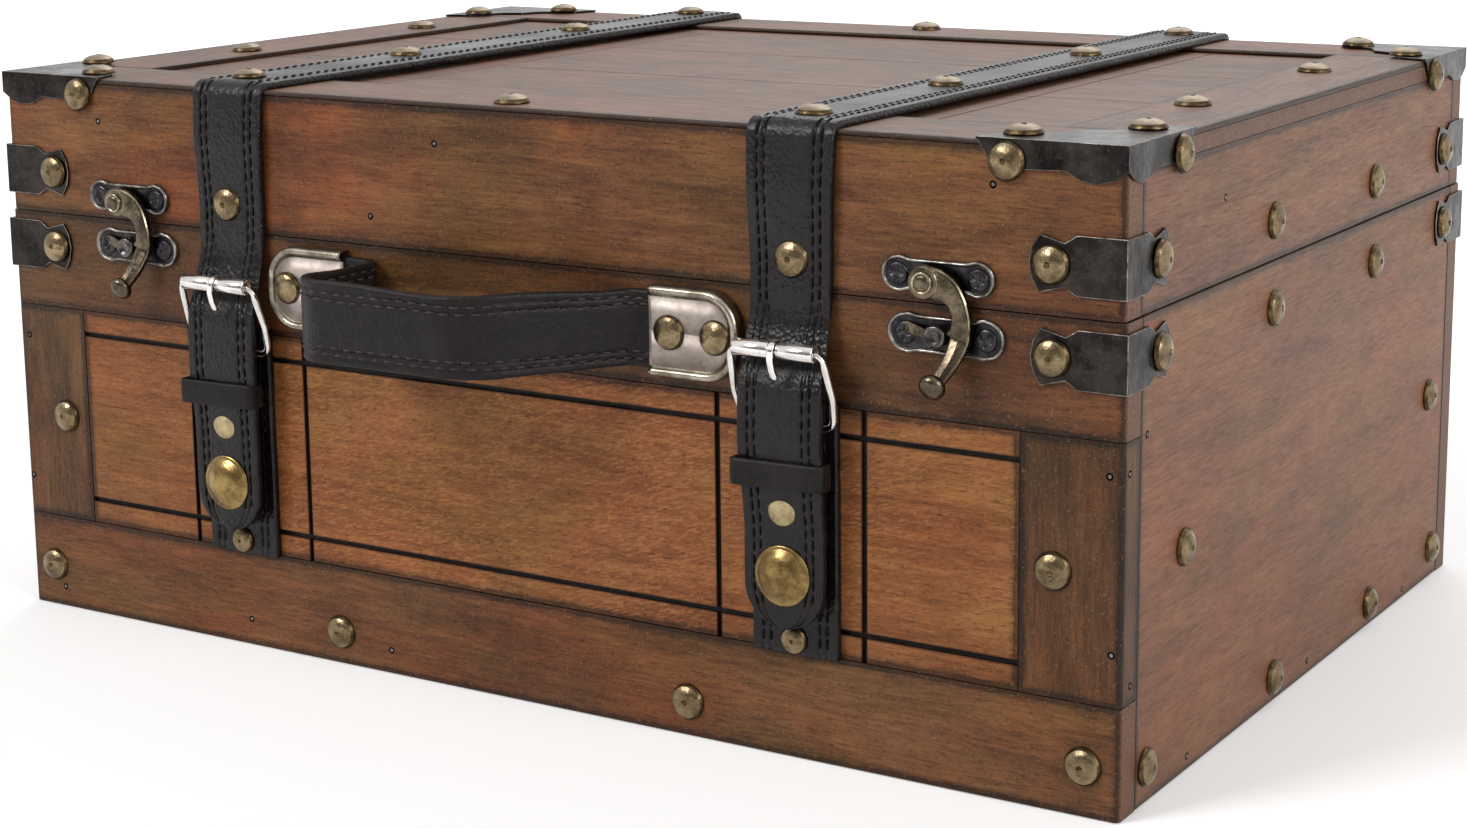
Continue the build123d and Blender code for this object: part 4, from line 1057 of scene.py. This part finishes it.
def dog_bone(centre, lobe, waist, height):
    """The outline of a plate with two round lobes and a waist, at a height above the front."""
    count = 72
    end = LATCH_REACH + lobe
    upper = []
    for step in range(count + 1):
        x = -end * math.cos(math.pi * step / count)
        bulge = math.sqrt(max(lobe ** 2 - (abs(x) - LATCH_REACH) ** 2, 0.0))
        web = waist if abs(x) < LATCH_REACH else 0.0
        upper.append((x, (bulge ** 8 + web ** 8) ** 0.125))
    outline = upper + [(x, -half) for x, half in reversed(upper[1:-1])]
    return [Vector((centre[0] + x, front - height, centre[1] + half)) for x, half in outline]


def latch_plate(shell, centre, lobe, waist):
    """A dark plate inside a thin raised rim."""
    rows = [dog_bone(centre, lobe - shrink, waist - shrink, height) for shrink, height in PLATE_EDGE]
    shell.add(grid(rows, closed_across=True, caps=False), 1)
    shell.add((rows[-1], [tuple(range(len(rows[-1])))]), 0)


shell = Shell()
for sign in (-1, 1):
    latch_plate(shell, (LATCH_X * sign, HOOK_PLATE_Z), 4.4, 3.9)
shell.piece("hook_plate_castings", (PLATE, PLATE_RIM), "lid", ("hook_plates",))

shell = Shell()
for sign in (-1, 1):
    latch_plate(shell, (LATCH_X * sign + 2.2, CATCH_Z), 4.9, 4.6)
    nub = Vector((LATCH_X * sign + 0.65, front, NUB_Z))
    points, faces = lathe(NUB_PROFILE, 56)
    cast = []
    for point in points:
        angle = math.atan2(point.y, point.x)
        facet = 1.0 - 0.035 * abs(math.sin(3.5 * angle)) ** 0.7 + 0.03 * math.cos(2 * angle + sign)
        cast.append(Vector((point.x * facet, point.y * facet, point.z)))
    shell.add((cast, faces), 2, facing(nub, -Y, 0.4 * sign))
    tongue = Vector((-math.cos(math.radians(8)), 0, math.sin(math.radians(8))))
    rows = []
    for step in range(13):
        share = step / 12
        slope = (1 - share) ** 1.3
        heights = (0.3 + 3.0 * slope + (0.15 if share > 0.9 else 0.0), 1.25 + 2.45 * slope)
        half = 1.15 + 0.35 * share - (0.5 if step == 12 else 0.0)
        base = nub + tongue * (1.8 + 8.0 * share)
        rows.append([base + Z * half * reach - Y * heights[level] for reach, level in TONGUE_EDGE])
    shell.add(grid(rows, closed_across=True), 3)
shell.piece("catch_plate_castings", (PLATE, PLATE_RIM, NUB, BRONZE), "body", ("catch_plates",))

# Hooks: a flat cast arm that curves round to a ball, with a tooth inside and a round eye.
# A line's points are x and z from the pivot, and half of the width there.
HOOK_LINE = ((0.6, 0.2, 3.8), (3.4, -0.3, 3.75), (6.3, -1.5, 3.2), (8.4, -3.8, 2.6), (9.5, -6.6, 2.35),
             (9.8, -9.6, 2.5), (9.5, -13.4, 2.45), (8.6, -17.2, 2.15), (7.1, -20.6, 1.9), (5.7, -22.8, 1.75),
             (4.9, -23.8, 1.9))
TOOTH_LINE = ((9.2, -9.0, 2.0), (8.2, -10.7, 1.7), (7.0, -11.6, 1.15), (5.9, -11.9, 0.6))
HOOK_EDGE = ((-0.80, 0.0), (-1.0, 0.35), (-1.0, 1.80), (-0.90, 2.22), (-0.74, 2.42), (0.0, 2.60),
             (0.74, 2.42), (0.90, 2.22), (1.0, 1.80), (1.0, 0.35), (0.80, 0.0))
# The two strips along the arm's rounded top edges take the brighter bronze: wear and a painted highlight
HOOK_STRIPS = (0, 0, 1, 0, 0, 0, 0, 1, 0, 0, 0)
EYE = (((0.001, 0.0), (3.8, 0.0), (4.2, 0.5), (4.2, 1.9)), ((4.2, 1.9), (4.05, 2.35), (3.75, 2.68)),
       ((3.75, 2.68), (3.3, 2.72), (0.001, 2.75)))
BALL = ((0.001, -1.9), (1.9, -1.75), (3.0, -1.0), (3.4, 0.0), (3.1, 1.05), (2.1, 1.75), (0.9, 1.98),
        (0.001, 2.0))
HOOK_PIVOT_Y = -126.9
HOOK_PIVOT_Z = 127.1
HOOK_BEND = math.radians(25)
BEND_DROP = 13.0
BALL_DROP = 24.0


def smooth_line(points, count):
    """A smooth line through points, each with its half-width."""
    made = []
    for index in range(count + 1):
        position = index / count * (len(points) - 1)
        first = min(int(position), len(points) - 2)
        share = position - first
        before, start = Vector(points[max(first - 1, 0)]), Vector(points[first])
        end, after = Vector(points[first + 1]), Vector(points[min(first + 2, len(points) - 1)])
        square = 2 * before - 5 * start + 4 * end - after
        cube = 3 * start - before - 3 * end + after
        made.append(0.5 * (2 * start + (end - before) * share + square * share ** 2 + cube * share ** 3))
    return made


for side, pivot_x in (("left", -133.7), ("right", 129.3)):
    pivot = Vector((pivot_x, HOOK_PIVOT_Y, HOOK_PIVOT_Z))
    line = smooth_line(HOOK_LINE, 60)
    rows = []
    for (point, wide), (_, _, half) in zip(frames([Vector((x, 0, z)) for x, z, _ in line], -Y), line):
        lean = max(0.0, -point.z - BEND_DROP) * math.tan(HOOK_BEND)
        base = pivot + point - Y * lean
        rows.append([base + wide * half * share - Y * height for share, height in HOOK_EDGE])
    points, faces = grid(rows, closed_across=True, caps=False)
    shell = Shell()
    for strip, look in enumerate(HOOK_STRIPS):
        shell.add((points, faces[strip::len(HOOK_STRIPS)]), look)
    # The eye's rounded rim takes the brighter bronze: wear and a painted highlight
    for profile, look in zip(EYE, (0, 1, 0)):
        shell.add(lathe(profile, 40), look, facing(pivot, -Y))
    ball = pivot + Vector((4.8, -(BALL_DROP - BEND_DROP) * math.tan(HOOK_BEND) - 1.3, -BALL_DROP))
    shell.add(lathe(BALL), 0, facing(ball, (0, -math.cos(HOOK_BEND), -math.sin(HOOK_BEND))))
    rows = [ring(pivot + Vector((x, -1.25, z)), Z, -Y, half, 1.05 * min(half, 1.25), 10)
            for x, z, half in smooth_line(TOOTH_LINE, 10)]
    shell.add(grid(rows, closed_across=True))
    shell.piece(side + "_hook_casting", (BRONZE, BRONZE_WEAR_AND_HIGHLIGHT), side + "_hook", (side + "_hook",))

shell = Shell()
for centre, size in islands("hook_rivets"):
    top = facing(centre - Y * size.y / 2, Y)
    # Each rivet's rim takes the brighter bronze: wear and a painted highlight
    shell.add(lathe([(2.75, 1.4), (2.75, 0.5), (2.62, 0.36), (2.30, 0.34), (2.12, 0.5)], 32), 1, top)
    shell.add(lathe([(2.12, 0.5), (1.98, 0.28), (1.5, 0.08), (0.7, 0.0), (0.001, 0.0)], 32), 0, top)
shell.piece("hook_rivet_heads", (BRONZE, BRONZE_WEAR_AND_HIGHLIGHT), "lid", ("hook_rivets",))

# Small brads in the boards and pins in the brackets. Each face has a direction and a distance from the
# middle, and each spot is a place across that face and a height.
PIN = [(0.50, 0.0), (0.50, 0.06), (0.30, 0.12), (0.001, 0.10)]
RING = [(0.95, 0.0), (0.95, 0.02), (0.001, 0.03)]
BRACKET_PIN = [(1.25, 0.0), (1.25, 0.08), (1.05, 0.22), (0.80, 0.10), (0.45, 0.08), (0.30, 0.20),
               (0.001, 0.22)]
FACES = {"front": (-Y, 125.02), "side": (X, 180.02), "lid side": (X, 179.52), "front bracket": (-Y, 125.78),
         "side bracket": (X, 180.78), "lid side bracket": (X, 180.28)}
BRADS = {
    "body": {
        "front": ((-176.1, 83.4), (-178.0, 39.7), (-167.2, 6.0), (-92.2, 7.6), (-40.5, 6.6), (176.3, 84.7),
                  (177.4, 41.4)),
        "side": ((-121.8, 85.1), (-119.6, 32.7), (-112.2, 92.6), (1.8, 3.8), (83.5, 2.8), (-83.6, 3.6)),
        "front bracket": ((-171.6, 110.8), (170.5, 110.9)),
        "side bracket": ((-112.0, 110.0), (116.0, 110.0)),
    },
    "lid": {
        "front": ((-142.8, 149.7), (-19.7, 150.7), (-42.4, 129.5), (145.6, 151.3)),
        "lid side": ((-65.0, 142.5),),
        "front bracket": ((-172.0, 134.4), (170.4, 133.8)),
        "lid side bracket": ((-112.5, 133.0), (116.0, 133.0)),
    },
}
for body, faces in BRADS.items():
    shell = Shell()
    for face, spots in faces.items():
        axis, distance = FACES[face]
        for across, height in spots:
            place = facing(axis * distance + (Y if axis == X else X) * across + Z * height, axis)
            if "bracket" in face:
                shell.add(lathe(BRACKET_PIN, 18), 2, place)
            else:
                # A near-black ring round each brad is painted shade in its hole
                shell.add(lathe(RING, 14), 1, place)
                shell.add(lathe(PIN, 14), 0, place)
    shell.piece(body + "_brads", (WORN_IRON, HOLE_SHADE, IRON), body)

# Floor
floor_mesh = bpy.data.meshes.new("studio_floor")
floor_mesh.from_pydata([(-9, -9, 0), (9, -9, 0), (9, 9, 0), (-9, 9, 0)], [], [(0, 1, 2, 3)])
floor = bpy.data.objects.new("studio_floor", floor_mesh)
floor.location.z = -0.0003
bpy.context.scene.collection.objects.link(floor)
ground = Look("pale_floor")
ground.finish((0.86, 0.86, 0.86), 0.8, Specular_IOR_Level=0.1)
away = ground.add("VectorMath", {0: ground.place}, operation="LENGTH").outputs["Value"]
glow = ground.times(ground.viewed(), ground.spread(away, 0.3, 2.0, 0.22, 0.75))
ground.set(ground.shader.inputs["Emission Color"], (1.0, 1.0, 1.0))
ground.set(ground.shader.inputs["Emission Strength"], glow)
floor_mesh.materials.append(ground.material)

# A white room that is brighter to the eye than as a light, and darker on the camera's side
CAMERA_SIDE = (-0.10, -0.99, 0.0)
world = bpy.data.worlds.new("soft_studio")
bpy.context.scene.world = world
world.use_nodes = True
sky = Graph(world.node_tree)
bright = sky.math("MULTIPLY_ADD", sky.viewed(), 0.6, 0.4)
direction = sky.add("TexCoord").outputs["Generated"]
toward = sky.add("VectorMath", {0: direction, 1: CAMERA_SIDE}, operation="DOT_PRODUCT").outputs["Value"]
dim = sky.spread(toward, 0.55, 0.97, 1.0, 0.25, interpolation_type="SMOOTHSTEP")
background = sky.add("Background", {"Color": (1.0, 1.0, 1.0), "Strength": sky.times(bright, dim)})
sky.set(sky.add("OutputWorld").inputs[0], background.outputs[0])


def softbox(name, place, target, size, power):
    """A rectangular lamp that faces a point."""
    lamp = bpy.data.lights.new(name, "AREA")
    lamp.shape = "RECTANGLE"
    lamp.size, lamp.size_y = size
    lamp.energy = power
    holder = bpy.data.objects.new(name, lamp)
    holder.location = place
    holder.rotation_euler = (Vector(target) - Vector(place)).to_track_quat("-Z", "Y").to_euler()
    bpy.context.scene.collection.objects.link(holder)


softbox("key_lamp", (-0.9, -1.6, 1.5), (0, -0.1, 0.08), (0.8, 0.8), 31.0)
softbox("side_lamp", (1.9, -0.5, 1.0), (0.1, 0, 0.08), (0.9, 0.9), 21.0)
softbox("top_lamp", (-0.2, 1.3, 1.5), (0, 0, 0.15), (1.6, 0.8), 16.0)

# The photo's camera, fitted to the corners of the box
ROLL, PITCH, YAW = (math.radians(angle) for angle in (-0.637, 10.938, -32.041))
CAMERA_PLACE = (0.4256, -0.6874, 0.2453)
view = bpy.data.cameras.new("photo_camera")
camera = bpy.data.objects.new("photo_camera", view)
bpy.context.scene.collection.objects.link(camera)
turn = (Matrix.Rotation(ROLL, 3, "Z") @ Matrix.Rotation(PITCH, 3, "X") @
        Matrix(((1, 0, 0), (0, 0, -1), (0, 1, 0))) @ Matrix.Rotation(YAW, 3, "Z"))
flip = Matrix(((1, 0, 0), (0, -1, 0), (0, 0, -1)))
camera.matrix_world = Matrix.Translation(CAMERA_PLACE) @ (turn.transposed() @ flip).to_4x4()
view.sensor_width = 36.0
view.lens = 66.29
view.shift_y = -0.0777
view.clip_end = 50.0
bpy.context.scene.camera = camera
bpy.context.scene.view_settings.view_transform = "Standard"
